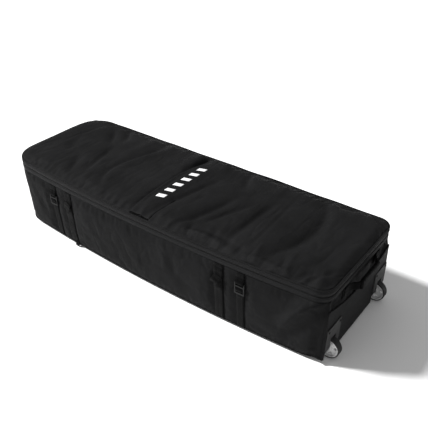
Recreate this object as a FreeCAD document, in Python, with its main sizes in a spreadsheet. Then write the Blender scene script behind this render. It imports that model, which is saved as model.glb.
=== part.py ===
import FreeCAD, Part
import math
import os

import PartDesign
import Sketcher

# A soft-sided wheeled board bag, in millimetres.  +X runs from the head end
# to the wheel end, -Y is the zipped long side, +Y the hinged long side and
# z = 0 is the ground.  The origin is under the middle of the whole bag.

DIMENSIONS = {
    # tub
    "tub_length": 1456,
    "tub_width": 500,
    "bow_radius": 8000,
    "head_radius": 110,
    "corner_radius": 18,
    "lid_radius": 52,
    "base_height": 14,
    "tub_height": 252,
    "skin": 2,
    "foam": 7.4,
    "lining": 1.5,
    "ply_gap": 0.3,
    "foam_joint": 1,
    # zip band and lid
    "zip_height": 273,
    "seam_height": 294,
    "tape_thick": 1.5,
    "coil_width": 2,
    "piping_radius": 2.5,
    "lid_foam": 10,
    "sleeve_width": 100,
    "sleeve_place": 6,
    "sleeve_thick": 2.4,
    "print_thick": 0.4,
    "print_length": 34,
    "print_width": 20,
    "print_pitch": 47,
    "print_slant": 8,
    "print_place": -8,
    # base
    "belly_inset": 70,
    "belly_front": 170,
    "board_thick": 3,
    # wheels and their housings
    "wheel_radius": 40,
    "wheel_width": 25,
    "wheel_inset": 63,
    "wheel_setback": 3.4,
    "tread": 4,
    "hub_width": 22,
    "hub_boss": 14,
    "web_thick": 6,
    "axle_radius": 3,
    "bearing_radius": 9.5,
    "bearing_width": 6,
    "housing_width": 87,
    "housing_height": 140,
    "housing_depth": 57,
    "well_top": 104,
    "slot_width": 31,
    "slot_top": 90,
    "heel_radius": 63,
    "flange": 3,
    "screw_head": 3.5,
    "screw_shank": 1.9,
    "screw_drop": 11,
    "screw_inset": 8,
    # kick panel on the wheel end
    "kick_thick": 3,
    "kick_side": 216,
    "kick_middle": 176,
    # straps and ladder locks
    "strap_top": 250,
    "loop_top": 219,
    "hinge_clear": 10,
    "strap_thick": 1.5,
    "strap_width": 30,
    "inner_strap_width": 38,
    "strap_stand": 1.2,
    "outer_left": -465,
    "inner_left": -376,
    "inner_right": 350,
    "outer_right": 434,
    "lock_height": 209,
    "lock_stand": 5.6,
    "lock_width": 38,
    "lock_drop": 46,
    "lock_thick": 4,
    "lock_rail": 3.5,
    "lock_slot": 10,
    "loop_gap": 3,
    # zip sliders and pullers, on the head end
    "slider_length": 11,
    "slider_width": 9,
    "slider_depth": 4,
    "bridge_depth": 9.2,
    "puller_length": 28,
    "puller_width": 8,
    "puller_thick": 1.6,
    # end handle
    "handle_half": 112,
    "handle_bend": 66,
    "handle_reach": 23.5,
    "handle_tape": 2.4,
    "handle_height": 32,
    "grip_thick": 17,
    "grip_height": 38,
    "anchor_thick": 2,
}


class Size:
    """A number together with the spreadsheet expression that gives it."""

    def __init__(self, number, text):
        self.number = number
        self.text = text

    def combined(self, other, sign, number):
        return Size(number, "(" + self.text + " " + sign + " " + size(other).text + ")")

    def __add__(self, other):
        return self.combined(other, "+", self.number + size(other).number)

    def __sub__(self, other):
        return self.combined(other, "-", self.number - size(other).number)

    def __rsub__(self, other):
        return size(other) - self

    def __mul__(self, other):
        return self.combined(other, "*", self.number * size(other).number)

    def __truediv__(self, other):
        return self.combined(other, "/", self.number / size(other).number)

    def __neg__(self):
        return Size(-self.number, "(0 - " + self.text + ")")

    def root(self):
        return Size(math.sqrt(self.number), "sqrt(" + self.text + ")")


def size(value):
    """Any number as a Size; a Size stays what it is."""
    if isinstance(value, Size):
        return value
    return Size(float(value), "(" + repr(float(value)) + ")")


# ---------------------------------------------------------------------------
# Document, dimension sheet and modelling helpers
# ---------------------------------------------------------------------------

doc = FreeCAD.newDocument("board_bag")
sheet = doc.addObject("Spreadsheet::Sheet", "Dims")
parts = []


def fill_sheet():
    for row, (word, number) in enumerate(DIMENSIONS.items(), start=1):
        sheet.set("A" + str(row), word)
        sheet.set("B" + str(row), str(number))
        sheet.setAlias("B" + str(row), word)
    doc.recompute()


def dim(word):
    return Size(float(DIMENSIONS[word]), "Dims." + word)


def bind(thing, path, value):
    """Ties one property of an object to the spreadsheet."""
    thing.setExpression(path, size(value).text)


def new_body(label):
    body = doc.addObject("PartDesign::Body", label)
    body.Label = label
    body.AllowCompound = True
    parts.append(body)
    return body


def place(thing, x=0, y=0, z=0):
    for letter, value in (("x", x), ("y", y), ("z", z)):
        bind(thing, ".Placement.Base." + letter, value)


def new_sketch(body, plane, height=0):
    """An empty sketch on one of the body's own planes, lifted along its normal."""
    sketch = body.newObject("Sketcher::SketchObject", body.Name + "_sketch")
    support = [item for item in body.Origin.OriginFeatures if item.Role == plane][0]
    sketch.AttachmentSupport = [(support, "")]
    sketch.MapMode = "FlatFace"
    bind(sketch, ".AttachmentOffset.Base.z", height)
    return sketch


def arc_middle(start, end, radius):
    """The point halfway along the shorter arc; a positive radius turns left."""
    chord = end - start
    half = chord.Length / 2
    rise = abs(radius) - math.sqrt(max(radius * radius - half * half, 0.0))
    side = FreeCAD.Vector(chord.y, -chord.x, 0).normalize()
    return (start + end) / 2 + side * math.copysign(rise, radius)


def fix_point(sketch, geometry, end, x, y):
    for kind, value in (("DistanceX", x), ("DistanceY", y)):
        index = sketch.addConstraint(
            Sketcher.Constraint(kind, -1, 1, geometry, end, value.number))
        bind(sketch, "Constraints[" + str(index) + "]", value)


def draw_loop(sketch, corners):
    """A closed outline.  A corner is (x, y), or (x, y, radius) before an arc."""
    points = [FreeCAD.Vector(size(c[0]).number, size(c[1]).number, 0) for c in corners]
    ends = []
    for index, corner in enumerate(corners):
        start = points[index]
        end = points[(index + 1) % len(points)]
        if len(corner) == 2:
            number = sketch.addGeometry(Part.LineSegment(start, end), False)
            ends.append((number, 1, 2))
            continue
        radius = size(corner[2])
        middle = arc_middle(start, end, radius.number)
        number = sketch.addGeometry(Part.Arc(start, middle, end), False)
        forward = (sketch.getPoint(number, 1) - start).Length < (
            sketch.getPoint(number, 2) - start).Length
        ends.append((number, 1, 2) if forward else (number, 2, 1))
        rule = Sketcher.Constraint("Radius", number, abs(radius.number))
        index = sketch.addConstraint(rule)
        bind(sketch, "Constraints[" + str(index) + "]",
             radius if radius.number > 0 else -radius)
    for index, corner in enumerate(corners):
        number, first, _ = ends[index]
        before, _, last = ends[index - 1]
        sketch.addConstraint(Sketcher.Constraint("Coincident", before, last, number, first))
        fix_point(sketch, number, first, size(corner[0]), size(corner[1]))


def draw_rectangle(sketch, x0, y0, x1, y1):
    draw_loop(sketch, [(x0, y0), (x1, y0), (x1, y1), (x0, y1)])


def draw_circle(sketch, x, y, radius):
    radius = size(radius)
    centre = FreeCAD.Vector(size(x).number, size(y).number, 0)
    number = sketch.addGeometry(
        Part.Circle(centre, FreeCAD.Vector(0, 0, 1), radius.number), False)
    index = sketch.addConstraint(Sketcher.Constraint("Radius", number, radius.number))
    bind(sketch, "Constraints[" + str(index) + "]", radius)
    fix_point(sketch, number, 3, size(x), size(y))


def extrude(body, kind, sketch, length, middle=False, reverse=False):
    """A Pad or Pocket of the sketch; a Pocket has to take material away."""
    before = body.Shape.Volume if kind == "Pocket" else 0.0
    feature = body.newObject("PartDesign::" + kind, body.Name + "_" + kind)
    feature.Profile = sketch
    feature.SideType = "Symmetric" if middle else "One side"
    feature.Reversed = reverse
    bind(feature, "Length", length)
    doc.recompute()
    if kind == "Pocket" and body.Shape.Volume > before - 1e-3:
        raise RuntimeError(body.Label + ": a pocket cut nothing")
    return feature


def pad_up(body, loops, bottom, top):
    """Pads closed outlines given in X and Y from one height to another."""
    sketch = new_sketch(body, "XY_Plane", bottom)
    for loop in loops:
        draw_loop(sketch, loop)
    return extrude(body, "Pad", sketch, size(top) - bottom)


def box_piece(body, x0, x1, y0, y1, z0, z1):
    return pad_up(body, [[(x0, y0), (x1, y0), (x1, y1), (x0, y1)]], z0, z1)


def fillet_edges(body, radius, wanted):
    """Rounds the edges of the last feature that the test picks out."""
    doc.recompute()
    base = body.Tip
    names = ["Edge" + str(number) for number, edge in enumerate(base.Shape.Edges, start=1)
             if wanted(edge)]
    fillet = body.newObject("PartDesign::Fillet", body.Name + "_fillet")
    fillet.Base = (base, names)
    bind(fillet, "Radius", radius)
    doc.recompute()
    return fillet


def runs_along(letter):
    """A test for straight edges parallel to one axis."""
    others = [item for item in "xyz" if item != letter]

    def test(edge):
        first, last = edge.Vertexes[0].Point, edge.Vertexes[-1].Point
        gap = last - first
        still = all(abs(getattr(gap, item)) < 1e-6 for item in others)
        return still and gap.Length > 1e-6
    return test


fill_sheet()

# ---------------------------------------------------------------------------
# Where things are
# ---------------------------------------------------------------------------

wheel_reach = dim("wheel_radius") - dim("wheel_setback")
overall_length = dim("bridge_depth") + dim("tub_length") + wheel_reach
back = dim("bridge_depth") - overall_length / 2
front = back + dim("tub_length")
middle = (back + front) / 2

lock_depth = dim("lock_stand") + dim("loop_gap") + dim("strap_thick")
overall_width = dim("piping_radius") + dim("tub_width") + lock_depth
near_middle = dim("piping_radius") - overall_width / 2
far = near_middle + dim("tub_width")

head = back + dim("head_radius")
ply = dim("skin") + dim("ply_gap")
foam_end = ply + dim("foam")
lining_start = foam_end + dim("ply_gap")
wall = lining_start + dim("lining")


def near(x):
    """The zipped side's outer face is a shallow arc: its y at a given x."""
    along = size(x) - middle
    reach = dim("bow_radius") * dim("bow_radius") - along * along
    return near_middle + dim("bow_radius") - reach.root()


def tour(inset, radius):
    """The bag's plan, counter-clockwise from the far head corner.

    Eight corners: 0 to 3 go round the head end, 3 to 4 is the bowed side and
    4 to 7 go round the wheel end, whose corners have the given radius.
    """
    inset = size(inset)
    turn = front - radius
    head_arc = dim("head_radius") - inset
    front_arc = radius - inset
    return [
        (head, far - inset, head_arc),
        (back + inset, far - dim("head_radius")),
        (back + inset, near(head) + dim("head_radius"), head_arc),
        (head, near(head) + inset, dim("bow_radius")),
        (turn, near(turn) + inset, front_arc),
        (front - inset, near(turn) + radius),
        (front - inset, far - radius, front_arc),
        (turn, far - inset),
    ]


def band(outer, inner, first, last, radius):
    """A strip between two insets, along the tour from one corner to another."""
    going = tour(outer, radius)[first:last + 1]
    coming = tour(inner, radius)[first:last + 1]
    loop = going[:-1] + [going[-1][:2]]
    for index in range(len(coming) - 1, -1, -1):
        corner = coming[index][:2]
        arc = coming[index - 1][2:] if index > 0 else ()
        loop.append(corner + tuple(-value for value in arc))
    return loop


TUB = dim("corner_radius")
LID = dim("lid_radius")
HEAD_END = (0, 3)
NEAR_SIDE = (3, 4)
WHEEL_END = (4, 7)
ZIP_RUN = (0, 7)

wheel_x = front - dim("wheel_setback")
panel_near = near(front - TUB)
panel_middle = (far + panel_near) / 2
head_middle = (far + near(head)) / 2
wheel_places = {"near": panel_near + dim("wheel_inset"), "far": far - dim("wheel_inset")}


# ---------------------------------------------------------------------------
# Tub: skins, foam, lining
# ---------------------------------------------------------------------------

def cut_wheel_mouths(body):
    """Opens a wheel-end ply where the two wheel housings come through."""
    sketch = new_sketch(body, "YZ_Plane", front - dim("housing_depth"))
    for place_y in wheel_places.values():
        half = dim("housing_width") / 2 + 0.5
        draw_rectangle(sketch, place_y - half, size(0), place_y + half,
                       dim("well_top") + 0.5)
    extrude(body, "Pocket", sketch, dim("housing_depth") * 2, reverse=True)


def cut_screw_holes(body):
    """Clears the four housing screws through a wheel-end ply."""
    sketch = new_sketch(body, "YZ_Plane", front - dim("skin"))
    for place_y in wheel_places.values():
        for side in (-1, 1):
            offset = (dim("housing_width") / 2 - dim("screw_inset")) * side
            draw_circle(sketch, place_y + offset, dim("housing_height") - dim("screw_drop"),
                        dim("screw_shank") + dim("ply_gap"))
    extrude(body, "Pocket", sketch, dim("skin") + dim("kick_thick") * 2, reverse=True)


def split_into_boards(body):
    """Parts the long bowed foam into four boards laid end to end."""
    sketch = new_sketch(body, "XY_Plane", dim("base_height"))
    half = dim("foam_joint") / 2
    for step in (-1, 0, 1):
        joint = middle + dim("tub_length") / 4 * step
        draw_rectangle(sketch, joint - half, near_middle - half, joint + half,
                       near(joint) + wall)
    extrude(body, "Pocket", sketch, dim("tub_height"), reverse=True)


def build_walls():
    plies = {"skin": (size(0), dim("skin")), "foam": (ply, foam_end)}
    for name, (outer, inner) in plies.items():
        low, high = dim("base_height"), dim("tub_height")
        for side, run in (("near_side", NEAR_SIDE), ("head_end", HEAD_END),
                          ("wheel_end", WHEEL_END)):
            body = new_body(side + "_" + name)
            pad_up(body, [band(outer, inner, run[0], run[1], TUB)], low, high)
            if side == "wheel_end":
                cut_wheel_mouths(body)
            if body.Label == "wheel_end_skin":
                cut_screw_holes(body)
            if body.Label == "near_side_foam":
                split_into_boards(body)
        body = new_body("far_side_" + name)
        box_piece(body, head, front - TUB, far - inner, far - outer, low, high)


def build_linings():
    body = new_body("tub_lining")
    outer, inner = tour(lining_start, TUB), tour(wall, TUB)
    low = dim("base_height") + 6
    pad_up(body, [outer, inner], low, dim("tub_height") - 1)
    cut_wheel_mouths(body)
    base = new_body("base_lining")
    inset = wall + 1
    pad_up(base, [tour(inset, TUB)], low, low + dim("lining"))
    notch_for_housings(base)


def notch_for_housings(body):
    """Takes the two wheel housings' footprints out of a flat base ply."""
    sketch = new_sketch(body, "XY_Plane", size(0))
    for place_y in wheel_places.values():
        half = dim("housing_width") / 2 + 0.5
        draw_rectangle(sketch, front - dim("housing_depth") - 0.5, place_y - half,
                       front + 5, place_y + half)
    extrude(body, "Pocket", sketch, dim("base_height") * 3, reverse=True)


def build_base():
    """The base skin sags from its seam to the ground in a broad flat belly."""
    skin = new_body("bottom_skin")
    height = dim("base_height")
    pad_up(skin, [tour(0.5, TUB)], height - 1.5, height - dim("ply_gap"))
    inset = dim("belly_inset")
    rim = inset / 6
    low_front = front - dim("belly_front")
    low = new_sketch(skin, "XY_Plane", size(0))
    draw_rectangle(low, head, near(head) + inset, low_front, far - inset)
    high = new_sketch(skin, "XY_Plane", height - 1.5)
    draw_rectangle(high, back + inset, near(head) + rim, front - dim("housing_depth") - 12,
                   far - rim)
    loft = skin.newObject("PartDesign::AdditiveLoft", "bottom_skin_loft")
    loft.Profile = high
    loft.Sections = [low]
    loft.Ruled = True
    doc.recompute()
    notch_for_housings(skin)

    board = new_body("base_board")
    pad_up(board, [tour(wall, TUB)], height + 1, height + 1 + dim("board_thick"))
    notch_for_housings(board)

    piping = new_body("bottom_piping")
    bead = dim("piping_radius")
    outer = band(-bead, size(-0.3), 0, 4, TUB)
    pad_up(piping, [outer], height - 2, height + bead)


def build_wheel_end_trim():
    kick = new_body("kick_panel")
    sketch = new_sketch(kick, "YZ_Plane", front + dim("ply_gap"))
    left = panel_near + TUB
    right = far - TUB
    half = (right - left) / 2
    dip = dim("kick_side") - dim("kick_middle")
    sweep = (half * half + dip * dip) / (dip * 2)
    draw_loop(sketch, [
        (left, dim("base_height")),
        (right, dim("base_height")),
        (right, dim("kick_side"), -sweep),
        (left, dim("kick_side")),
    ])
    extrude(kick, "Pad", sketch, dim("kick_thick"))
    cut_wheel_mouths(kick)
    cut_screw_holes(kick)

    seams = new_body("corner_piping")
    sketch = new_sketch(seams, "XY_Plane", dim("base_height") + 4)
    bead = dim("piping_radius") * 0.8
    for place_y in (left - bead - dim("ply_gap"), right + bead + dim("ply_gap")):
        draw_circle(sketch, front + bead + dim("ply_gap"), place_y, bead)
    extrude(seams, "Pad", sketch, dim("tub_height") - dim("base_height") - 6)


# ---------------------------------------------------------------------------
# Zip band and lid
# ---------------------------------------------------------------------------

def build_zip_band():
    gap = dim("ply_gap")
    coil = dim("coil_width")
    tape = dim("tape_thick")
    centre = dim("zip_height")
    runs = {
        "tub_zip_tape": (size(0), tape, dim("tub_height") + gap, centre - coil - gap),
        "tub_zip_coil": (gap, coil + gap, centre - coil, centre - 0.15),
        "lid_zip_coil": (gap, coil + gap, centre + 0.15, centre + coil),
        "lid_zip_tape": (size(0), tape, centre + coil + gap, dim("seam_height") - 3),
    }
    for name, (outer, inner, low, high) in runs.items():
        body = new_body(name)
        pad_up(body, [band(outer, inner, ZIP_RUN[0], ZIP_RUN[1], LID)], low, high)
    binding = new_body("hinge_binding")
    box_piece(binding, head + 2, front - LID - 2, far - wall - 2, far - wall - gap,
              dim("tub_height") - 16, dim("tub_height") - 2)


def build_lid():
    seam = dim("seam_height")
    gap = dim("ply_gap")
    bead = dim("piping_radius")
    piping = new_body("lid_piping")
    pad_up(piping, [tour(-bead, LID), tour(bead, LID)], seam - bead, seam + bead)
    gusset = new_body("lid_far_gusset")
    box_piece(gusset, head, front - LID, far - dim("skin"), far,
              dim("tub_height") + gap, seam - 3)
    inset = bead + gap
    skin_low = seam + 2
    plies = {
        "lid_skin": (skin_low, skin_low + dim("skin")),
        "lid_foam": (skin_low - gap - dim("lid_foam"), skin_low - gap),
        "lid_lining": (skin_low - gap * 2 - dim("lid_foam") - dim("lining"),
                       skin_low - gap * 2 - dim("lid_foam")),
    }
    for name, (low, high) in plies.items():
        body = new_body(name)
        pad_up(body, [tour(inset, LID)], low, high)

    sleeve_low = skin_low + dim("skin") + gap
    half = dim("sleeve_width") / 2
    centre = middle + dim("sleeve_place")
    sleeve = new_body("lid_sleeve")
    box_piece(sleeve, centre - half, centre + half, near(middle) + 16, far - 16,
              sleeve_low, sleeve_low + dim("sleeve_thick"))
    fillet_edges(sleeve, dim("sleeve_thick") / 2 - 0.1, runs_along("y"))

    bars = new_body("lid_print")
    sketch = new_sketch(bars, "XY_Plane", sleeve_low + dim("sleeve_thick") + 0.05)
    x0 = centre + dim("print_place") - dim("print_length") / 2
    x1 = x0 + dim("print_length")
    slant = dim("print_slant")
    for step in range(-3, 3):
        y0 = dim("print_pitch") * (step + 0.5) - dim("print_width") / 2 - slant / 2
        y1 = y0 + dim("print_width")
        draw_loop(sketch, [(x0, y0), (x1, y0 + slant), (x1, y1 + slant), (x0, y1)])
    extrude(bars, "Pad", sketch, dim("print_thick"))


# ---------------------------------------------------------------------------
# Zip sliders, running along the straight part of the head end
# ---------------------------------------------------------------------------

def build_sliders():
    face = -size(0.5)
    for name, side in (("near", -1), ("far", 1)):
        start = head_middle + (dim("slider_length") / 2 + 1) * side
        slider = new_body(name + "_zip_slider")
        half_length = dim("slider_length") / 2
        half_width = dim("slider_width") / 2
        top = face - dim("slider_depth")
        box_piece(slider, top, face, -half_length, half_length, -half_width, half_width)
        fillet_edges(slider, 1.2, runs_along("x"))
        bridge_top = -dim("bridge_depth")
        sketch = new_sketch(slider, "XY_Plane", size(-1.2))
        draw_loop(sketch, [
            (top + 0.4, -half_length + 0.6),
            (top + 0.4, half_length - 0.6),
            (bridge_top, half_length - 2),
            (bridge_top, -half_length + 2),
        ])
        draw_rectangle(sketch, top - 0.1, -half_length + 2.2, bridge_top + 1.2,
                       half_length - 2.2)
        extrude(slider, "Pad", sketch, size(2.4))
        place(slider, back, start, dim("zip_height"))

        puller = new_body(name + "_zip_puller")
        bar = dim("puller_thick") / 2
        sketch = new_sketch(puller, "YZ_Plane", -bar)
        reach = dim("puller_length")
        grip = dim("puller_width") / 2
        ends = [-bar * side, reach * side]
        draw_rectangle(sketch, ends[0], -grip, ends[1], grip)
        draw_rectangle(sketch, bar * side, -(grip - 1.6), size(7 * side), grip - 1.6)
        extrude(puller, "Pad", sketch, dim("puller_thick"))
        place(puller, back + top - 0.8 - bar, start, dim("zip_height"))


# ---------------------------------------------------------------------------
# Wheels, axles, bearings and housings
# ---------------------------------------------------------------------------

def ring(body, outer, inner, width, offset=0):
    """A ring about the Y axis."""
    sketch = new_sketch(body, "XZ_Plane", size(offset))
    draw_circle(sketch, 0, 0, outer)
    draw_circle(sketch, 0, 0, inner)
    return extrude(body, "Pad", sketch, width, middle=True)


def revolve(body, corners):
    """Turns an outline, given as radius and place along the axle, about Y."""
    sketch = new_sketch(body, "XY_Plane")
    draw_loop(sketch, corners)
    feature = body.newObject("PartDesign::Revolution", body.Name + "_turned")
    feature.Profile = sketch
    feature.ReferenceAxis = (sketch, ["V_Axis"])
    feature.Angle = 360
    doc.recompute()
    return feature


def build_wheel(name, place_y):
    radius = dim("wheel_radius")
    tyre = new_body(name + "_tyre")
    half = dim("wheel_width") / 2
    inner = radius - dim("tread")
    crown = dim("tread") * 0.75
    revolve(tyre, [
        (inner, -half), (inner + 1, -half, crown),
        (radius, crown - half), (radius, half - crown, crown),
        (inner + 1, half), (inner, half),
    ])

    hub = new_body(name + "_hub")
    rim = inner - 0.1
    face = dim("hub_width") / 2
    boss = dim("hub_boss")
    web = dim("web_thick") / 2
    seat = dim("bearing_radius") + 0.02
    revolve(hub, [
        (seat, -face), (boss, -face), (boss + 2, -web), (rim - 5, -web), (rim - 3, -face),
        (rim, -face), (rim, face), (rim - 3, face), (rim - 5, web), (boss + 2, web),
        (boss, face), (seat, face), (seat, face - dim("bearing_width")),
        (seat - 2, face - dim("bearing_width")), (seat - 2, dim("bearing_width") - face),
        (seat, dim("bearing_width") - face),
    ])
    window = new_sketch(hub, "XZ_Plane")
    draw_circle(window, (boss + rim) / 2 - 1, 0, (rim - boss) / 2 - 5.5)
    cut = extrude(hub, "Pocket", window, dim("hub_width"), middle=True)
    pattern = hub.newObject("PartDesign::PolarPattern", hub.Name + "_windows")
    pattern.Originals = [cut]
    pattern.Axis = (window, ["N_Axis"])
    pattern.Angle = 360
    pattern.Occurrences = 5
    hub.Tip = pattern

    bearings = new_body(name + "_wheel_bearings")
    for side in (-1, 1):
        offset = (face - dim("bearing_width") / 2) * side
        ring(bearings, dim("bearing_radius"), dim("axle_radius") + 0.05,
             dim("bearing_width"), offset)

    axle = new_body(name + "_wheel_axle")
    sketch = new_sketch(axle, "XZ_Plane")
    draw_circle(sketch, 0, 0, dim("axle_radius"))
    extrude(axle, "Pad", sketch, dim("slot_width") + 12, middle=True)

    for body in (tyre, hub, bearings, axle):
        place(body, wheel_x, place_y, radius)


def build_housing(name, place_y):
    """A moulded block with a flange: a slot for the wheel and two side pockets."""
    body = new_body(name + "_wheel_housing")
    height = dim("base_height")
    face = dim("ply_gap") * 2 + dim("kick_thick") + dim("flange")
    heel = dim("heel_radius")
    fall = heel - height
    tuck = heel - (heel * heel - fall * fall).root()
    sketch = new_sketch(body, "XZ_Plane")
    draw_loop(sketch, [
        (-dim("housing_depth"), height),
        (face - tuck, height, heel),
        (face, heel),
        (face, dim("housing_height")),
        (face - dim("flange"), dim("housing_height")),
        (face - dim("flange"), dim("well_top")),
        (-dim("housing_depth"), dim("well_top")),
    ])
    extrude(body, "Pad", sketch, dim("housing_width"), middle=True)

    slot = new_sketch(body, "XZ_Plane")
    depth = dim("wheel_radius") + dim("wheel_setback") + 5
    draw_rectangle(slot, -depth, height - 5, face + 5, dim("slot_top"))
    extrude(body, "Pocket", slot, dim("slot_width"), middle=True)

    pockets = new_sketch(body, "YZ_Plane", -dim("housing_depth"))
    cheek = dim("slot_width") / 2 + 7
    edge = dim("housing_width") / 2 - 3
    for side in (-1, 1):
        draw_rectangle(pockets, cheek * side, height + 3, edge * side, dim("well_top") - 3)
    extrude(body, "Pocket", pockets, dim("housing_depth") - 26, reverse=True)

    bore = new_sketch(body, "XZ_Plane")
    draw_circle(bore, -dim("wheel_setback"), dim("wheel_radius"), dim("axle_radius"))
    extrude(body, "Pocket", bore, dim("slot_width") + 12, middle=True)
    screw_holes = new_sketch(body, "YZ_Plane")
    screw_y = dim("housing_width") / 2 - dim("screw_inset")
    screw_z = dim("housing_height") - dim("screw_drop")
    for side in (-1, 1):
        draw_circle(screw_holes, screw_y * side, screw_z, dim("screw_shank") + 0.1)
    extrude(body, "Pocket", screw_holes, face + 1, reverse=True)
    place(body, front, place_y, 0)

    screws = new_body(name + "_housing_screws")
    shank = new_sketch(screws, "YZ_Plane", face - dim("flange") - 4)
    cap = new_sketch(screws, "YZ_Plane", face + 0.05)
    for side in (-1, 1):
        draw_circle(shank, screw_y * side, screw_z, dim("screw_shank"))
        draw_circle(cap, screw_y * side, screw_z, dim("screw_head"))
    extrude(screws, "Pad", shank, dim("flange") + 4.1)
    extrude(screws, "Pad", cap, size(1.6))
    place(screws, front, place_y, 0)


# ---------------------------------------------------------------------------
# Compression straps with their ladder locks
# ---------------------------------------------------------------------------

def flat_tape(body, x, half, wall_y, outward, low, high):
    """A length of webbing lying flat against a long side."""
    inner = wall_y + dim("strap_stand") * outward
    outer = inner + dim("strap_thick") * outward
    left, right = (inner, outer) if outward > 0 else (outer, inner)
    box_piece(body, x - half, x + half, left, right, low, high)


def build_straps(side, outward, wall_at, high):
    """Four straps on a long side, up to the height given; outward is -1 or 1."""
    outer_places = {"left": middle + dim("outer_left"), "right": middle + dim("outer_right")}
    inner_places = [middle + dim("inner_left"), middle + dim("inner_right")]
    thick = dim("strap_thick")
    low = dim("base_height") + 5
    lock = dim("lock_height")

    uppers = new_body(side + "_strap_uppers")
    lowers = new_body(side + "_strap_lowers")
    gap = dim("loop_gap")
    plies = [high, dim("loop_top")]
    left_top, right_top = plies if outward > 0 else plies[::-1]
    for x in outer_places.values():
        pivot = wall_at(x) + dim("lock_stand") * outward
        loop = new_sketch(uppers, "YZ_Plane", x)
        draw_loop(loop, [
            (pivot - gap - thick, left_top),
            (pivot - gap - thick, lock, gap + thick),
            (pivot, lock - gap - thick, gap + thick),
            (pivot + gap + thick, lock),
            (pivot + gap + thick, right_top),
            (pivot + gap, right_top),
            (pivot + gap, lock, -gap),
            (pivot, lock - gap, -gap),
            (pivot - gap, lock),
            (pivot - gap, left_top),
        ])
        extrude(uppers, "Pad", loop, dim("strap_width"), middle=True)
        half = dim("strap_width") / 2
        flat_tape(lowers, x, half, wall_at(x), outward, low, lock - 26)
    for x in inner_places:
        half = dim("inner_strap_width") / 2
        flat_tape(uppers, x, half, wall_at(x), outward, lock - 60, high)
        flat_tape(lowers, x, half, wall_at(x), outward, low, lock - 61)

    for name, x in outer_places.items():
        body = new_body(side + "_" + name + "_ladder_lock")
        frame = new_sketch(body, "XZ_Plane")
        half = dim("lock_width") / 2
        rail = dim("lock_rail")
        bar = dim("lock_thick") / 2
        draw_rectangle(frame, -half, bar - dim("lock_drop"), half, bar)
        for step in range(3):
            top = -bar - (dim("lock_slot") + rail) * step
            draw_rectangle(frame, rail - half, top - dim("lock_slot"), half - rail, top)
        extrude(body, "Pad", frame, dim("lock_thick"), middle=True)
        fillet_edges(body, 1.2, outer_corner)
        place(body, x, wall_at(x) + dim("lock_stand") * outward, lock)


def outer_corner(edge):
    """The four thickness edges of a ladder lock that lie on its outline."""
    point = edge.Vertexes[0].Point
    outside = abs(point.x) > DIMENSIONS["lock_width"] / 2 - 0.5
    return runs_along("y")(edge) and outside


# ---------------------------------------------------------------------------
# End handle
# ---------------------------------------------------------------------------

def handle_line(offset):
    """The handle's plan line from the near end to the far end, at an offset."""
    start = size(3.4) + offset
    out = start + dim("handle_reach")
    half = dim("handle_half")
    bend = dim("handle_bend")
    return [
        (start, -half), (start, -half + 8), (out, -bend),
        (out, bend), (start, half - 8), (start, half),
    ]


def build_handle():
    top = dim("strap_top")
    low = top - dim("handle_height")
    anchors = new_body("end_handle_anchors")
    half = dim("handle_half")
    for side in (-1, 1):
        centre = panel_middle + half * side
        box_piece(anchors, front + dim("ply_gap"), front + dim("ply_gap") + dim("anchor_thick"),
                  centre - 20, centre + 20, low - 4, top - 1)

    webbing = new_body("end_handle_webbing")
    outline = handle_line(dim("handle_tape")) + handle_line(0)[::-1]
    pad_up(webbing, [outline], -dim("handle_height"), size(0))
    place(webbing, front, panel_middle, top)

    grip = new_body("end_handle_grip")
    centre = size(3.4) + dim("handle_reach") + dim("handle_tape") / 2
    deep = dim("grip_thick") / 2
    tall = (dim("grip_height") - dim("handle_height")) / 2
    box_piece(grip, centre - deep, centre + deep, -dim("handle_bend") + 2,
              dim("handle_bend") - 2, -dim("handle_height") - tall, tall)
    fillet_edges(grip, deep - 0.5, runs_along("y"))
    place(grip, front, panel_middle, top)


# ---------------------------------------------------------------------------
# Build, check, write
# ---------------------------------------------------------------------------

def far_wall(_):
    return far


build_walls()
build_linings()
build_base()
build_wheel_end_trim()
build_zip_band()
build_lid()
build_sliders()
for wheel_name, wheel_y in wheel_places.items():
    build_wheel(wheel_name, wheel_y)
    build_housing(wheel_name, wheel_y)
build_straps("near", -1, near, dim("strap_top"))
build_straps("far", 1, far_wall, dim("strap_top") - dim("hinge_clear"))
build_handle()
doc.recompute()

for item in doc.Objects:
    if "Invalid" in item.State or "Error" in item.State:
        raise RuntimeError(item.Label + " failed: " + ", ".join(item.State))
for part in parts:
    if part.Shape.isNull() or not part.Shape.isValid() or not part.Shape.Solids:
        raise RuntimeError(part.Label + " has no valid solid")

os.makedirs("parts", exist_ok=True)
for part in parts:
    part.Shape.exportStep(os.path.join("parts", part.Label + ".step"))
whole = FreeCAD.BoundBox()
for part in parts:
    whole.add(part.Shape.optimalBoundingBox(False))
print(len(parts), "parts,", round(whole.XLength, 1), "x", round(whole.YLength, 1), "x",
      round(whole.ZLength, 1), "mm")
print("centre", round(whole.Center.x, 2), round(whole.Center.y, 2))
for word, place_of in (("front", front), ("back", back), ("far", far), ("near", near_middle),
                       ("wheel x", wheel_x), ("near wheel y", wheel_places["near"]),
                       ("far wheel y", wheel_places["far"]), ("head middle", head_middle),
                       ("panel middle", panel_middle)):
    print(word, round(place_of.number, 2))
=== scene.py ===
import math
from contextlib import contextmanager

import bmesh
import bpy
import numpy as np
from mathutils import Matrix, Vector
from mathutils.bvhtree import BVHTree


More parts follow.
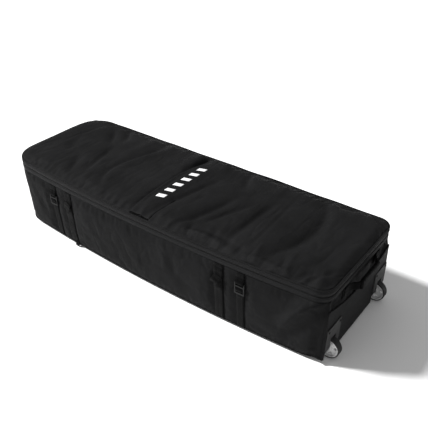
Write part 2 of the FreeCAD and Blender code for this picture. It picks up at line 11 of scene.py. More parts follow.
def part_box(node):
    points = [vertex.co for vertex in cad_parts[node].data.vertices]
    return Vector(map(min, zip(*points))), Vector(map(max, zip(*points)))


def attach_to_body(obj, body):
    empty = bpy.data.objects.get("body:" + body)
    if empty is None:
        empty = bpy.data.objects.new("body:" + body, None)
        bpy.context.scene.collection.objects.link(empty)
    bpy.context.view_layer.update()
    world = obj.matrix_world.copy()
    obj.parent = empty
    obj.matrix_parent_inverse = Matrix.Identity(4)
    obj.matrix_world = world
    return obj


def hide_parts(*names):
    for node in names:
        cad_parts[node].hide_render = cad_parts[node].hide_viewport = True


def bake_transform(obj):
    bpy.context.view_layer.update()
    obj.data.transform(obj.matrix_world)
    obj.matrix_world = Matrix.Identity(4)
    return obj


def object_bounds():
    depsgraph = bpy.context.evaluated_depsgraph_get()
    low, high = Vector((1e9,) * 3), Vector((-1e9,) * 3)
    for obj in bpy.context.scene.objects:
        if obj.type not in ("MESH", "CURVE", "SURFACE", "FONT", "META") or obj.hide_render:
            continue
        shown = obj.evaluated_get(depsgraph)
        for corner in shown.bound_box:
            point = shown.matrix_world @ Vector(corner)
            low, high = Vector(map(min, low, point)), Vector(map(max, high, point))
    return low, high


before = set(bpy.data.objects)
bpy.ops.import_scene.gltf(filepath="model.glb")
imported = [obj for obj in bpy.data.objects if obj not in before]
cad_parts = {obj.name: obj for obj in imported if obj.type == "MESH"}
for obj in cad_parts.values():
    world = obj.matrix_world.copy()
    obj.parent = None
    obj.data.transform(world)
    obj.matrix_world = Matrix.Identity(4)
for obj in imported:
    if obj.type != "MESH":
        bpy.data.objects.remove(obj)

# A soft-sided wheeled board bag, in metres. +X is the wheel end, -Y the zipped
# long side, +Y the hinged long side and z = 0 the ground.

CAD_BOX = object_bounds()


def low(node):
    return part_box(node)[0]


def high(node):
    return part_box(node)[1]


# --- Driving dimensions, read from the frame ---

BACK = low("head_end_skin").x
FRONT = high("wheel_end_skin").x
FAR = high("far_side_skin").y
NEAR_MIDDLE = low("near_side_skin").y
BASE_Z = low("near_side_skin").z
HINGE_Z = high("near_side_skin").z
SEAM_Z = (low("lid_piping").z + high("lid_piping").z) / 2
ZIP_Z = (high("tub_zip_coil").z + low("lid_zip_coil").z) / 2
HEAD_X = low("far_side_skin").x
HEAD_R = HEAD_X - BACK
TUB_R = FRONT - high("far_side_skin").x
LID_R = FRONT - high("lid_far_gusset").x
MIDDLE_X = (BACK + FRONT) / 2
BOW_R = 8.0
WALL = 0.0115
FOAM_WALL = 0.0094
LINING_Z = high("base_lining").z
PANEL_Y = (low("end_handle_anchors").y + high("end_handle_anchors").y) / 2
KICK_X = high("kick_panel").x
PIPE_R = 0.0026
KICK_LOW, KICK_HIGH = low("kick_panel").y, high("kick_panel").y
KICK_TOP = high("kick_panel").z
ANCHOR_SPOTS = (low("end_handle_anchors").y + 0.02, high("end_handle_anchors").y - 0.02)


def near_y(x):
    """The zipped side's nominal outer face, a shallow arc."""
    return NEAR_MIDDLE + BOW_R - np.sqrt(BOW_R ** 2 - (x - MIDDLE_X) ** 2)


STRAP_HALF = {"outer": 0.015, "inner": 0.019}
LOCK_X = {
    side: (low("near_" + side + "_ladder_lock").x + high("near_" + side + "_ladder_lock").x) / 2
    for side in ("left", "right")
}
INNER_X = {"left": LOCK_X["left"] + 0.089, "right": LOCK_X["right"] - 0.084}
STRAP_PLACES = (*LOCK_X.values(), *INNER_X.values())

# --- Camera, light and floor ---

scene = bpy.context.scene
CAMERA_TURN = (37.47, 33.32, -0.35)
CAMERA_PLACE = (1.2432, -1.4570, 1.4346)
CAMERA_LENS = 50.14
IMAGE_WIDTH = 428
SKY_STRENGTH = 0.42
KEY_LAMP = {"direction": (-0.68, -0.31, 0.67), "angle": 9, "strength": 5.9}
FLOOR_REACH = 30
FLOOR_TONE = 0.93


def fill(node, values):
    """Sets numbers and colours on a node's own sockets."""
    for socket, value in values.items():
        node.inputs[socket].default_value = value


def make_camera():
    yaw, pitch, roll = (math.radians(angle) for angle in CAMERA_TURN)
    ahead = Vector((-math.sin(yaw) * math.cos(pitch), math.cos(yaw) * math.cos(pitch),
                    -math.sin(pitch)))
    right = Vector((math.cos(yaw), math.sin(yaw), 0))
    up = right.cross(ahead)
    side = right * math.cos(roll) + up * math.sin(roll)
    top = up * math.cos(roll) - right * math.sin(roll)
    camera = bpy.data.objects.new("camera", bpy.data.cameras.new("camera"))
    camera.data.lens = CAMERA_LENS
    camera.data.sensor_width = 36
    camera.data.shift_x = 1 / IMAGE_WIDTH
    turn = Matrix((side, top, -ahead)).transposed().to_4x4()
    camera.matrix_world = Matrix.Translation(CAMERA_PLACE) @ turn
    scene.collection.objects.link(camera)
    scene.camera = camera


def make_light(name, direction, angle, strength):
    """A broad distant lamp; direction points from the bag to the lamp."""
    data = bpy.data.lights.new(name, "SUN")
    data.angle = math.radians(angle)
    data.energy = strength
    lamp = bpy.data.objects.new(name, data)
    lamp.rotation_mode = "QUATERNION"
    lamp.rotation_quaternion = Vector(direction).to_track_quat("Z", "Y")
    scene.collection.objects.link(lamp)


def make_stage():
    world = bpy.data.worlds.new("studio")
    world.use_nodes = True
    sky = world.node_tree.nodes["Background"]
    fill(sky, {"Color": (1.0, 1.0, 1.0, 1), "Strength": SKY_STRENGTH})
    scene.world = world
    make_light("key", **KEY_LAMP)
    scene.view_settings.view_transform = "Standard"
    mesh = bpy.data.meshes.new("floor")
    corners = [(FLOOR_REACH * x, FLOOR_REACH * y, 0)
               for x, y in ((-1, -1), (1, -1), (1, 1), (-1, 1))]
    mesh.from_pydata(corners, [], [(0, 1, 2, 3)])
    floor = bpy.data.objects.new("floor", mesh)
    scene.collection.objects.link(floor)
    paper = bpy.data.materials.new("paper")
    paper.use_nodes = True
    shader = paper.node_tree.nodes["Principled BSDF"]
    fill(shader, {"Base Color": (FLOOR_TONE, FLOOR_TONE, FLOOR_TONE, 1), "Roughness": 0.9,
                  "Specular IOR Level": 0.1})
    mesh.materials.append(paper)


make_camera()
make_stage()


# --- Materials ---

class Finish:
    """A node material under construction, with short words for common nodes."""

    def __init__(self, name, roughness=0.7, specular=0.2, sheen=0.0, metallic=0.0):
        self.material = bpy.data.materials.new(name)
        self.material.use_nodes = True
        self.tree = self.material.node_tree
        self.shader = self.tree.nodes["Principled BSDF"]
        fill(self.shader, {"Roughness": roughness, "Specular IOR Level": specular,
                           "Metallic": metallic, "Sheen Weight": sheen, "Sheen Roughness": 0.45})
        self.bumps = []

    def node(self, kind, **settings):
        made = self.tree.nodes.new("ShaderNode" + kind)
        for word, value in settings.items():
            setattr(made, word, value)
        return made

    def plug(self, node, socket, value):
        if isinstance(value, bpy.types.NodeSocket):
            self.tree.links.new(value, node.inputs[socket])
        else:
            node.inputs[socket].default_value = value

    def math(self, operation, first, second=0.0, third=0.0):
        made = self.node("Math", operation=operation)
        for index, value in enumerate((first, second, third)):
            self.plug(made, index, value)
        return made.outputs[0]

    def place(self):
        return self.node("TexCoord").outputs["Object"]

    def cloth(self):
        """Metres along and across the cloth, stored with each fabric mesh."""
        return self.node("Attribute", attribute_name="cloth").outputs["Vector"]

    def noise(self, scale, detail=3.0, roughness=0.55, vector=None, stretch=None):
        made = self.node("TexNoise")
        fill(made, {"Scale": scale, "Detail": detail, "Roughness": roughness})
        vector = vector or self.place()
        if stretch:
            mapping = self.node("Mapping")
            mapping.inputs["Scale"].default_value = stretch
            self.plug(mapping, "Vector", vector)
            vector = mapping.outputs["Vector"]
        self.plug(made, "Vector", vector)
        return made.outputs["Fac"]

    def spread(self, value, first, last, start=0.0, end=1.0):
        made = self.node("MapRange", clamp=True)
        fill(made, {"From Min": first, "From Max": last, "To Min": start, "To Max": end})
        self.plug(made, "Value", value)
        return made.outputs["Result"]

    def weave(self, pitch, diagonal=False):
        """Height of a woven cloth, from 0 to 1: warp and weft passing in turn."""
        split = self.node("SeparateXYZ")
        self.plug(split, 0, self.cloth())
        along, across = split.outputs[0], split.outputs[1]
        if diagonal:
            along, across = self.math("ADD", along, across), self.math("SUBTRACT", along, across)
        turn = 2 * math.pi / pitch
        warp = self.math("SINE", self.math("MULTIPLY", along, turn))
        weft = self.math("SINE", self.math("MULTIPLY", across, turn))
        return self.math("MULTIPLY_ADD", self.math("MULTIPLY", warp, weft), 0.5, 0.5)

    def ribs(self, pitch, axis=1):
        split = self.node("SeparateXYZ")
        self.plug(split, 0, self.cloth())
        wave = self.math("SINE", self.math("MULTIPLY", split.outputs[axis], 2 * math.pi / pitch))
        return self.math("MULTIPLY_ADD", wave, 0.5, 0.5)

    def mix(self, factor, first, second):
        made = self.node("Mix", data_type="RGBA")
        self.plug(made, 0, factor)
        for socket, value in ((6, first), (7, second)):
            if isinstance(value, bpy.types.NodeSocket):
                self.plug(made, socket, value)
            else:
                made.inputs[socket].default_value = (*value, 1)
        return made.outputs[2]

    def colour(self, value):
        self.plug(self.shader, "Base Color", value)

    def roughness(self, value):
        self.plug(self.shader, "Roughness", value)

    def bump(self, height, depth, strength=1.0):
        made = self.node("Bump")
        fill(made, {"Distance": depth, "Strength": strength})
        self.plug(made, "Height", height)
        if self.bumps:
            self.plug(made, "Normal", self.bumps[-1].outputs["Normal"])
        self.bumps.append(made)
        self.plug(self.shader, "Normal", made.outputs["Normal"])


def grey(level, tint=0.0):
    return (level, level, level * (1 + tint))


def woven(name, dark, light, pitch, rough, specular, sheen=0.0, diagonal=False,
          crumple=0.0012):
    """Woven cloth: yarn bump, uneven dye, faint rubbed patches and fine creases."""
    finish = Finish(name, rough, specular, sheen)
    cloudy = finish.noise(5.0, 4.0, 0.6)
    rubbed = finish.spread(finish.noise(38.0, 5.0, 0.7), 0.56, 0.8)
    yarn = finish.weave(pitch, diagonal)
    base = finish.mix(finish.spread(cloudy, 0.3, 0.7), grey(dark, 0.02), grey(light, 0.03))
    worn = finish.mix(finish.math("MULTIPLY", rubbed, 0.35), base, grey(light * 1.5, 0.02))
    shade = finish.math("MULTIPLY_ADD", yarn, 0.35, 0.8)
    toned = finish.node("VectorMath", operation="SCALE")
    finish.plug(toned, 0, worn)
    finish.plug(toned, "Scale", shade)
    finish.colour(toned.outputs[0])
    slub = finish.noise(150.0, 2.0, 0.5, stretch=(1.0, 1.0, 0.3))
    finish.roughness(finish.math("MULTIPLY_ADD", slub, 0.18, rough - 0.09))
    finish.bump(finish.noise(24.0, 4.0, 0.6), crumple)
    ridge = finish.noise(5.0, 2.8, 0.5, stretch=(1.5, 0.6, 1.1))
    crease = finish.math("ABSOLUTE", finish.math("SUBTRACT", ridge, 0.5))
    finish.bump(finish.spread(crease, 0.0, 0.07), crumple * 1.35)
    finish.bump(yarn, pitch * 0.16, 0.8)
    return finish.material


def ribbed(name, level, pitch, rough, specular, along=0.0):
    """Webbing and tape: ribs across the width, with a fine lengthwise yarn."""
    finish = Finish(name, rough, specular, 0.04)
    ribs = finish.ribs(pitch, 1)
    if along:
        fine = finish.ribs(along, 0)
        ribs = finish.math("MULTIPLY_ADD", fine, 0.45, finish.math("MULTIPLY", ribs, 0.55))
    fuzz = finish.noise(260.0, 3.0, 0.6)
    tone = finish.math("MULTIPLY_ADD", ribs, 0.5, finish.math("MULTIPLY", fuzz, 0.5))
    finish.colour(finish.mix(tone, grey(level * 0.7, 0.02), grey(level * 1.5, 0.03)))
    finish.roughness(finish.math("MULTIPLY_ADD", fuzz, 0.2, rough - 0.1))
    finish.bump(ribs, pitch * 0.22)
    finish.bump(fuzz, 0.0001)
    return finish.material


def moulded(name, level, rough, specular, grain=900.0, scuff=0.25, mottled=0.0):
    """Moulded plastic: spark-eroded grain, soft scuffs and a slightly uneven tone."""
    finish = Finish(name, rough, specular)
    cloudy = finish.noise(30.0, 4.0, 0.6)
    scuffs = finish.spread(finish.noise(120.0, 6.0, 0.75), 0.58, 0.72)
    light, dark = grey(level * (1.18 + mottled)), grey(level * (0.86 - mottled))
    base = finish.mix(finish.spread(cloudy, 0.35, 0.65), dark, light)
    finish.colour(finish.mix(finish.math("MULTIPLY", scuffs, scuff), base, grey(level * 1.7)))
    fine = finish.noise(grain, 2.0, 0.5)
    finish.roughness(finish.math("MULTIPLY_ADD", scuffs, 0.15, rough))
    finish.bump(fine, 0.00006)
    finish.bump(cloudy, 0.0002)
    return finish.material


def metal(name, level, rough, metallic=1.0, brushed=True):
    finish = Finish(name, rough, 0.5, metallic=metallic)
    streaks = finish.noise(300.0, 3.0, 0.6, stretch=(1.0, 0.06, 1.0) if brushed else None)
    stains = finish.noise(60.0, 4.0, 0.6)
    finish.colour(finish.mix(stains, grey(level * 0.75), grey(level * 1.1)))
    finish.roughness(finish.math("MULTIPLY_ADD", streaks, 0.25, rough - 0.1))
    finish.bump(streaks, 0.00003)
    return finish.material


def printed(name):
    """Reflective transfer: pale beads in a fine grid, cracked along the folds."""
    finish = Finish(name, 0.45, 0.5)
    cells = finish.node("TexVoronoi", feature="DISTANCE_TO_EDGE")
    cells.inputs["Scale"].default_value = 420.0
    finish.plug(cells, "Vector", finish.place())
    crack = finish.spread(finish.noise(70.0, 6.0, 0.8), 0.62, 0.66)
    beads = finish.spread(cells.outputs["Distance"], 0.0, 0.12)
    base = finish.mix(beads, grey(0.52), grey(0.86))
    finish.colour(finish.mix(finish.math("MULTIPLY", crack, 0.5), base, grey(0.2)))
    finish.roughness(finish.math("MULTIPLY_ADD", beads, -0.15, 0.5))
    finish.bump(beads, 0.00008)
    return finish.material


MATERIALS = {
    "shell_fabric": woven("shell_fabric", 0.0076, 0.0122, 0.0011, 0.55, 0.02),
    "kick_fabric": woven("kick_fabric", 0.0120, 0.0165, 0.0019, 0.52, 0.03, crumple=0.0003),
    "lining": woven("lining", 0.030, 0.040, 0.0007, 0.6, 0.2, 0.05, diagonal=True,
                    crumple=0.0008),
    "binding": ribbed("binding", 0.0076, 0.0011, 0.6, 0.03),
    "zip_tape": ribbed("zip_tape", 0.0095, 0.0013, 0.6, 0.03, along=0.0011),
    "zip_coil": moulded("zip_coil", 0.006, 0.42, 0.15),
    "webbing": ribbed("webbing", 0.0016, 0.0020, 0.7, 0.012, along=0.0013),
    "webbing_pale": ribbed("webbing_pale", 0.0021, 0.0020, 0.7, 0.015, along=0.0013),
    "thread": ribbed("thread", 0.018, 0.0006, 0.55, 0.1),
    "grip": woven("grip", 0.0024, 0.0040, 0.0012, 0.48, 0.03, crumple=0.0005),
    "print": printed("print"),
    "board": moulded("board", 0.03, 0.55, 0.3),
    "buckle_plastic": moulded("buckle_plastic", 0.014, 0.38, 0.10, scuff=0.4),
    "housing_plastic": moulded("housing_plastic", 0.038, 0.5, 0.08, grain=1400.0),
    "wheel_rubber": moulded("wheel_rubber", 0.020, 0.5, 0.12, grain=500.0, scuff=0.5),
    "hub_plastic": moulded("hub_plastic", 0.62, 0.35, 0.5, scuff=0.15, mottled=0.1),
    "steel": metal("steel", 0.5, 0.35),
    "screw_steel": moulded("screw_steel", 0.0025, 0.5, 0.04, scuff=0.2),
    "zip_metal": metal("zip_metal", 0.03, 0.4, metallic=0.3, brushed=False),
}


# --- Mesh tools ---

def lattice(rows, cols, close_rows=False, close_cols=False):
    """Quads of a lattice of vertices, and each corner's row and column."""
    row = np.arange(rows if close_rows else rows - 1)
    col = np.arange(cols if close_cols else cols - 1)
    r, c = np.meshgrid(row, col, indexing="ij")
    corners = np.stack([np.stack([r, c], -1), np.stack([r, c + 1], -1),
                        np.stack([r + 1, c + 1], -1), np.stack([r + 1, c], -1)], 2)
    corners = corners.reshape(-1, 4, 2)
    quads = (corners[..., 0] % rows) * cols + corners[..., 1] % cols
    return quads, corners


def running(points, axis, closed):
    """Mean distance run along one axis of a lattice of points."""
    gaps = np.linalg.norm(np.diff(points, axis=axis), axis=2).mean(axis=1 - axis)
    total = np.concatenate([[0.0], np.cumsum(gaps)])
    if closed:
        last = np.take(points, -1, axis) - np.take(points, 0, axis)
        total = np.append(total, total[-1] + np.linalg.norm(last, axis=-1).mean())
    return total


def show(mesh, material, smooth=True):
    """Puts a mesh into the scene as an object of the same name."""
    mesh.polygons.foreach_set("use_smooth", [smooth] * len(mesh.polygons))
    mesh.materials.append(MATERIALS[material])
    piece = bpy.data.objects.new(mesh.name, mesh)
    scene.collection.objects.link(piece)
    return piece


def make_piece(name, points, faces, cloth, material, smooth=True):
    """A mesh object from numpy points, faces and one cloth place for each corner."""
    mesh = bpy.data.meshes.new(name)
    mesh.from_pydata(np.asarray(points, float).tolist(), [], [list(map(int, f)) for f in faces])
    if cloth is not None:
        store = mesh.attributes.new("cloth", "FLOAT_VECTOR", "CORNER")
        flat = np.zeros((len(mesh.loops), 3), np.float32)
        flat[:, :2] = np.asarray(cloth, float).reshape(-1, 2)
        store.data.foreach_set("vector", flat.ravel())
    return show(mesh, material, smooth)


@contextmanager
def editing(mesh):
    """A bmesh of the mesh, written back when the block ends."""
    build = bmesh.new()
    build.from_mesh(mesh)
    yield build
    build.to_mesh(mesh)
    build.free()


def turn_outward(piece):
    with editing(piece.data) as build:
        bmesh.ops.recalc_face_normals(build, faces=build.faces[:])
    return piece


def read(mesh, word="co"):
    """The vertices of a mesh (or their normals) as rows of a numpy array."""
    flat = np.zeros(len(mesh.vertices) * 3)
    mesh.vertices.foreach_get(word, flat)
    return flat.reshape(-1, 3)


def write(mesh, points):
    mesh.vertices.foreach_set("co", points.ravel())
    mesh.update()


def lattice_piece(name, points, material, close_rows=False, close_cols=False, caps=False):
    """A closed or open lattice of quads as an object, its ends capped on request."""
    rows, cols = points.shape[:2]
    quads, corners = lattice(rows, cols, close_rows, close_cols)
    along, across = running(points, 1, close_cols), running(points, 0, close_rows)
    cloth = np.stack([along[corners[..., 1]], across[corners[..., 0]]], -1)
    faces, cloth = quads.tolist(), cloth.reshape(-1, 2).tolist()
    if caps:
        for col in (0, cols - 1):
            half = rows // 2
            for r in range(half - 1):
                ring = [r, r + 1, rows - 2 - r, rows - 1 - r]
                if len(set(ring)) == 4:
                    faces.append([k * cols + col for k in ring])
                    cloth += [[0.0, across[k]] for k in ring]
    return turn_outward(make_piece(name, points.reshape(-1, 3), faces, cloth, material))


def solid_sheet(name, top, bottom, material, close_cols=False):
    """Two facing lattices closed round their edges into one thin solid."""
    points = np.concatenate([top, bottom[::-1]], axis=0)
    return lattice_piece(name, points, material, close_rows=True, close_cols=close_cols,
                         caps=not close_cols)


def sweep(name, path, outward, profile, material, closed=False):
    """Carries a closed profile of (out, up) offsets along a path."""
    path, outward, profile = (np.asarray(a, float) for a in (path, outward, profile))
    up = np.array([0.0, 0.0, 1.0])
    points = (path[None, :, :] + profile[:, None, :1] * outward[None, :, :]
              + profile[:, None, 1:2] * up)
    return lattice_piece(name, points, material, close_rows=True, close_cols=closed,
                         caps=not closed)


def along_line(points):
    """Distance run along a line of points, from 0 at the first."""
    gaps = np.linalg.norm(np.diff(points, axis=0), axis=1)
    return np.concatenate([[0], np.cumsum(gaps)])


def relax(line, rounds=6):
    """Evens out a line in place; its ends stay."""
    for _ in range(rounds):
        line[1:-1] = (line[:-2] + 2 * line[1:-1] + line[2:]) / 4


def smooth_line(points, step):
    """A smooth line through given points, at even steps."""
    points = np.asarray(points, float)
    knots = along_line(points)
    gaps = np.diff(knots)
    slope = np.gradient(points, knots, axis=0)
    t = np.linspace(0, knots[-1], int(knots[-1] / step) + 2)
    k = np.clip(np.searchsorted(knots, t, side="right") - 1, 0, len(gaps) - 1)
    span = gaps[k][:, None]
    s = (t[:, None] - knots[k][:, None]) / span
    return (points[k] * (2 * s ** 3 - 3 * s ** 2 + 1) + points[k + 1] * (3 * s ** 2 - 2 * s ** 3)
            + slope[k] * span * (s ** 3 - 2 * s ** 2 + s) + slope[k + 1] * span * (s ** 3 - s ** 2))


def tape(name, path, lateral, half, thick, material):
    """Webbing carried along a path: flat, with rounded selvedges."""
    path, lateral = np.asarray(path, float), np.asarray(lateral, float)
    tangent = np.gradient(path, axis=0)
    normal = np.cross(tangent, lateral)
    normal /= np.linalg.norm(normal, axis=1, keepdims=True)
    edge = thick / 2
    upper = [(-half, 0.3), (-half + edge, 1.0), (-half * 0.5, 1.0), (0.0, 1.0), (half * 0.5, 1.0),
             (half - edge, 1.0), (half, 0.3)]
    outline = np.array([(a, b * edge) for a, b in upper] + [(a, -b * edge) for a, b in upper[::-1]])
    points = (path[None] + outline[:, None, :1] * lateral
              + outline[:, None, 1:] * normal[None])
    return lattice_piece(name, points, material, close_rows=True, caps=True)


def main_cloth(piece):
    """Gives each face cloth coordinates flat on its own main direction."""
    mesh = piece.data
    store = mesh.attributes.new("cloth", "FLOAT_VECTOR", "CORNER")
    flat = np.zeros((len(mesh.loops), 3), np.float32)
    for face in mesh.polygons:
        main = max(range(3), key=lambda k: abs(face.normal[k]))
        first, second = [k for k in range(3) if k != main]
        for loop in face.loop_indices:
            place = mesh.vertices[mesh.loops[loop].vertex_index].co
            flat[loop, :2] = place[first], place[second]
    store.data.foreach_set("vector", flat.ravel())
    return piece


def thicken(piece, thick):
    """Gives an open cloth a real thickness, on the side its faces look away from."""
    with editing(piece.data) as build:
        bmesh.ops.dissolve_degenerate(build, dist=1e-6, edges=build.edges[:])
        bmesh.ops.solidify(build, geom=build.faces[:], thickness=thick)
        bmesh.ops.recalc_face_normals(build, faces=build.faces[:])
    return main_cloth(piece)


def ring(radius, count=10, squeeze=1.0):
    angle = np.linspace(0, 2 * math.pi, count, endpoint=False)
    return np.stack([np.cos(angle) * radius * squeeze, np.sin(angle) * radius], 1)


def ramp(value, first, last):
    """Smooth step from 0 at first to 1 at last."""
    t = np.clip((np.asarray(value, float) - first) / (last - first), 0, 1)
    return t * t * (3 - 2 * t)


def ripple(x, y, seed, scale):
    """Smooth repeatable unevenness between about -1 and 1."""
    total = np.zeros(np.broadcast(x, y).shape)
    draw = np.random.default_rng(seed)
    for _ in range(9):
        angle = draw.uniform(0, 2 * math.pi)
        length = scale * draw.uniform(0.5, 1.6)
        phase = draw.uniform(0, 2 * math.pi)
        wave = (x * math.cos(angle) + y * math.sin(angle)) * 2 * math.pi / length
        total = total + np.sin(wave + phase)
    return total / 4.5


def curve_points(controls, count=40):
    """A smooth line through two, three or four given points."""
    controls = np.asarray(controls, float)
    knots = np.linspace(0, 1, len(controls))
    t = np.linspace(0, 1, count)
    if len(controls) < 3:
        return np.stack([np.interp(t, knots, controls[:, k]) for k in (0, 1)], 1)
    fit = [np.polyfit(knots, controls[:, k], min(3, len(controls) - 1)) for k in (0, 1)]
    return np.stack([np.polyval(f, t) for f in fit], 1)


def fold_height(u, v, folds):
    """Sum of soft ridges and valleys; each is (points, height, left, right width)."""
    flat = np.stack([np.ravel(u), np.ravel(v)], 1)
    every = np.arange(len(flat))
    total = np.zeros(len(flat))
    for controls, height, left, right in folds:
        line = curve_points(controls)
        gap = flat[:, None, :] - line[None, :, :]
        distance = np.hypot(gap[..., 0], gap[..., 1])
        best = distance.argmin(1)
        nearest, offset = distance[every, best], gap[every, best]
        tangent = np.gradient(line, axis=0)[best]
        side = tangent[:, 0] * offset[:, 1] - tangent[:, 1] * offset[:, 0]
        width = np.where(side > 0, left, right)
        fade = np.sin(np.clip(best / (len(line) - 1), 0.03, 0.97) * math.pi) ** 0.6
        total += height * fade * np.exp(-(nearest / width) ** 1.3)
    return total.reshape(np.shape(u))


CLOTH_RULES = {
    "quality": 6, "mass": 0.2, "tension_stiffness": 12, "compression_stiffness": 12,
    "shear_stiffness": 6, "bending_stiffness": 0.35, "use_pressure": True,
}
CLOTH_FRAMES = 20


def puff(piece, held, growth, pressure, inward, outward):
    """Swells and wrinkles a closed shell by cloth simulation; held points stay."""
    before = read(piece.data)
    normals = read(piece.data, "normal")
    group = piece.vertex_groups.new(name="held")
    group.add(np.flatnonzero(held).tolist(), 1.0, "REPLACE")
    cloth = piece.modifiers.new("cloth", "CLOTH")
    rules = cloth.settings
    for word, value in CLOTH_RULES.items():
        setattr(rules, word, value)
    rules.vertex_group_mass = "held"
    rules.shrink_min = -growth
    rules.uniform_pressure_force = pressure
    rules.effector_weights.gravity = 0
    cloth.collision_settings.use_collision = False
    cloth.point_cache.frame_start = 1
    cloth.point_cache.frame_end = CLOTH_FRAMES
    for step in range(1, CLOTH_FRAMES + 1):
        scene.frame_set(step)
    view = piece.evaluated_get(bpy.context.evaluated_depsgraph_get())
    move = read(view.data) - before
    piece.modifiers.remove(cloth)
    piece.vertex_groups.remove(group)
    scene.frame_set(1)
    proud = (move * normals).sum(1)
    limited = np.clip(proud, -inward, outward)
    move += normals * (limited - proud)[:, None]
    length = np.linalg.norm(move, axis=1, keepdims=True)
    move *= np.minimum(1.0, 1.3 * outward / np.maximum(length, 1e-9))
    write(piece.data, before + move)


def surface_of(*pieces):
    """A ray-casting tree over finished pieces."""
    points, faces = [], []
    for piece in pieces:
        start = len(points)
        points += [v.co.copy() for v in piece.data.vertices]
        faces += [[start + k for k in p.vertices] for p in piece.data.polygons]
    return BVHTree.FromPolygons(points, faces)


# --- Plan of the bag ---

SPACING = 0.0072
SNUG = 1e-5
MOUTH_TOP = 0.1045
MOUTHS = [(low(side + "_wheel_housing").y - 0.0005, high(side + "_wheel_housing").y + 0.0005)
          for side in ("near", "far")]
COUNTS = {"near": int((FRONT - HEAD_X) / SPACING), "wheel": 56,
          "far": int((FRONT - HEAD_X) / 0.012), "head": 40, "corner": 14, "bend": 24}
WHEEL_MARKS = [0, 2, 14, 42, 54, 56]    # stations of the wheel end at the mouths' edges


def plan(radius, inset):
    """The whole outline at one level: points, outward directions and stretches.

    It starts at the near head corner's end and runs along the near side, round
    the wheel end, back along the far side and round the head end.
    """
    turn = FRONT - radius
    near_turn = near_y(turn)
    head_near = near_y(HEAD_X)
    places, outward, names = [], [], []

    def shares(name):
        return np.arange(COUNTS[name]) / COUNTS[name]

    def add(name, x, y, out_x, out_y):
        shape = np.broadcast(x, y).shape
        places.append(np.stack([np.broadcast_to(part, shape) for part in (x, y)], 1))
        outward.append(np.stack([np.broadcast_to(part, shape) for part in (out_x, out_y)], 1))
        names.extend([name] * shape[0])

    def arc(name, kind, x, y, size, first):
        angle = math.radians(first) + shares(kind) * math.pi / 2
        out_x, out_y = np.cos(angle), np.sin(angle)
        add(name, x + out_x * size, y + out_y * size, out_x, out_y)

    x = HEAD_X + shares("near") * (turn - HEAD_X)
    lean = (x - MIDDLE_X) / BOW_R
    add("near", x, near_y(x), lean, -np.sqrt(1 - lean ** 2))
    arc("near_corner", "corner", turn, near_turn + radius, radius, -90)
    stops = [near_y(FRONT - TUB_R) + TUB_R, *MOUTHS[0], *MOUTHS[1], FAR - TUB_R]
    y = np.interp(np.arange(COUNTS["wheel"]), WHEEL_MARKS, stops)
    y = np.interp(y, [stops[0], stops[-1]], [near_turn + radius, FAR - radius])
    add("wheel", FRONT, y, 1.0, 0.0)
    arc("far_corner", "corner", turn, FAR - radius, radius, 0)
    add("far", turn - shares("far") * (turn - HEAD_X), FAR, 0.0, 1.0)
    arc("far_bend", "bend", HEAD_X, FAR - HEAD_R, HEAD_R, 90)
    y = FAR - HEAD_R - shares("head") * (FAR - head_near - 2 * HEAD_R)
    add("head", BACK, y, -1.0, 0.0)
    arc("near_bend", "bend", HEAD_X, head_near + HEAD_R, HEAD_R, 180)
    places, outward = np.concatenate(places), np.concatenate(outward)
    return places - outward * inset, outward, np.array(names)


STRETCH = plan(TUB_R, 0)[2]
ZIP_FIRST = int(np.flatnonzero(STRETCH == "far_bend")[0])
ZIP_LAST = int(np.flatnonzero(STRETCH == "far")[0])


def zip_run(radius, inset):
    """The zipped part of the outline: head end, near side, wheel end."""
    places, outward, _ = plan(radius, inset)
    order = np.r_[ZIP_FIRST:len(places), 0:ZIP_LAST + 1]
    return places[order], outward[order]


def columns(*parts):
    """Stacks coordinates as rows of points; single numbers are repeated."""
    return np.stack(np.broadcast_arrays(*parts), -1).astype(float)


def flat_path(places, height):
    return columns(*places.T, height)


def flat_out(outward):
    return columns(*outward.T, 0.0)


# --- Tub walls ---

NEAR_FOLDS = [
    # (points (x, z), height, width on the left, width on the right)
    ([(0.722, 0.262), (0.668, 0.234), (0.620, 0.180), (0.572, 0.088)], 0.0115, 0.010, 0.026),
    ([(0.718, 0.238), (0.678, 0.192), (0.614, 0.108), (0.576, 0.030)], -0.0095, 0.022, 0.013),
    ([(0.712, 0.160), (0.690, 0.110), (0.690, 0.050)], -0.0030, 0.012, 0.018),
    ([(0.650, 0.252), (0.610, 0.240), (0.560, 0.226)], -0.0040, 0.008, 0.014),
    ([(0.600, 0.186), (0.560, 0.150), (0.520, 0.132)], -0.0040, 0.010, 0.018),
    ([(0.560, 0.040), (0.500, 0.048), (0.440, 0.052)], -0.0030, 0.012, 0.016),
    ([(0.146, 0.215), (0.150, 0.165), (0.142, 0.110)], -0.0040, 0.014, 0.022),
    ([(0.120, 0.225), (0.112, 0.180), (0.118, 0.130)], 0.0026, 0.016, 0.016),
    ([(-0.480, 0.150), (-0.175, 0.131), (0.320, 0.122)], -0.0022, 0.003, 0.006),
    ([(0.450, 0.110), (0.560, 0.098), (0.690, 0.096)], -0.0022, 0.003, 0.006),
    ([(0.263, 0.085), (0.205, 0.098), (0.150, 0.120)], -0.0026, 0.018, 0.018),
    ([(-0.265, 0.236), (-0.160, 0.231), (-0.060, 0.236)], -0.0030, 0.008, 0.012),
    ([(-0.330, 0.200), (-0.250, 0.120), (-0.200, 0.060)], 0.0016, 0.030, 0.030),
    ([(-0.060, 0.190), (-0.020, 0.110), (0.000, 0.050)], 0.0015, 0.030, 0.030),
    ([(-0.620, 0.215), (-0.560, 0.140), (-0.540, 0.060)], -0.0036, 0.018, 0.026),
    ([(0.300, 0.200), (0.270, 0.120), (0.262, 0.060)], 0.0016, 0.020, 0.030),
]

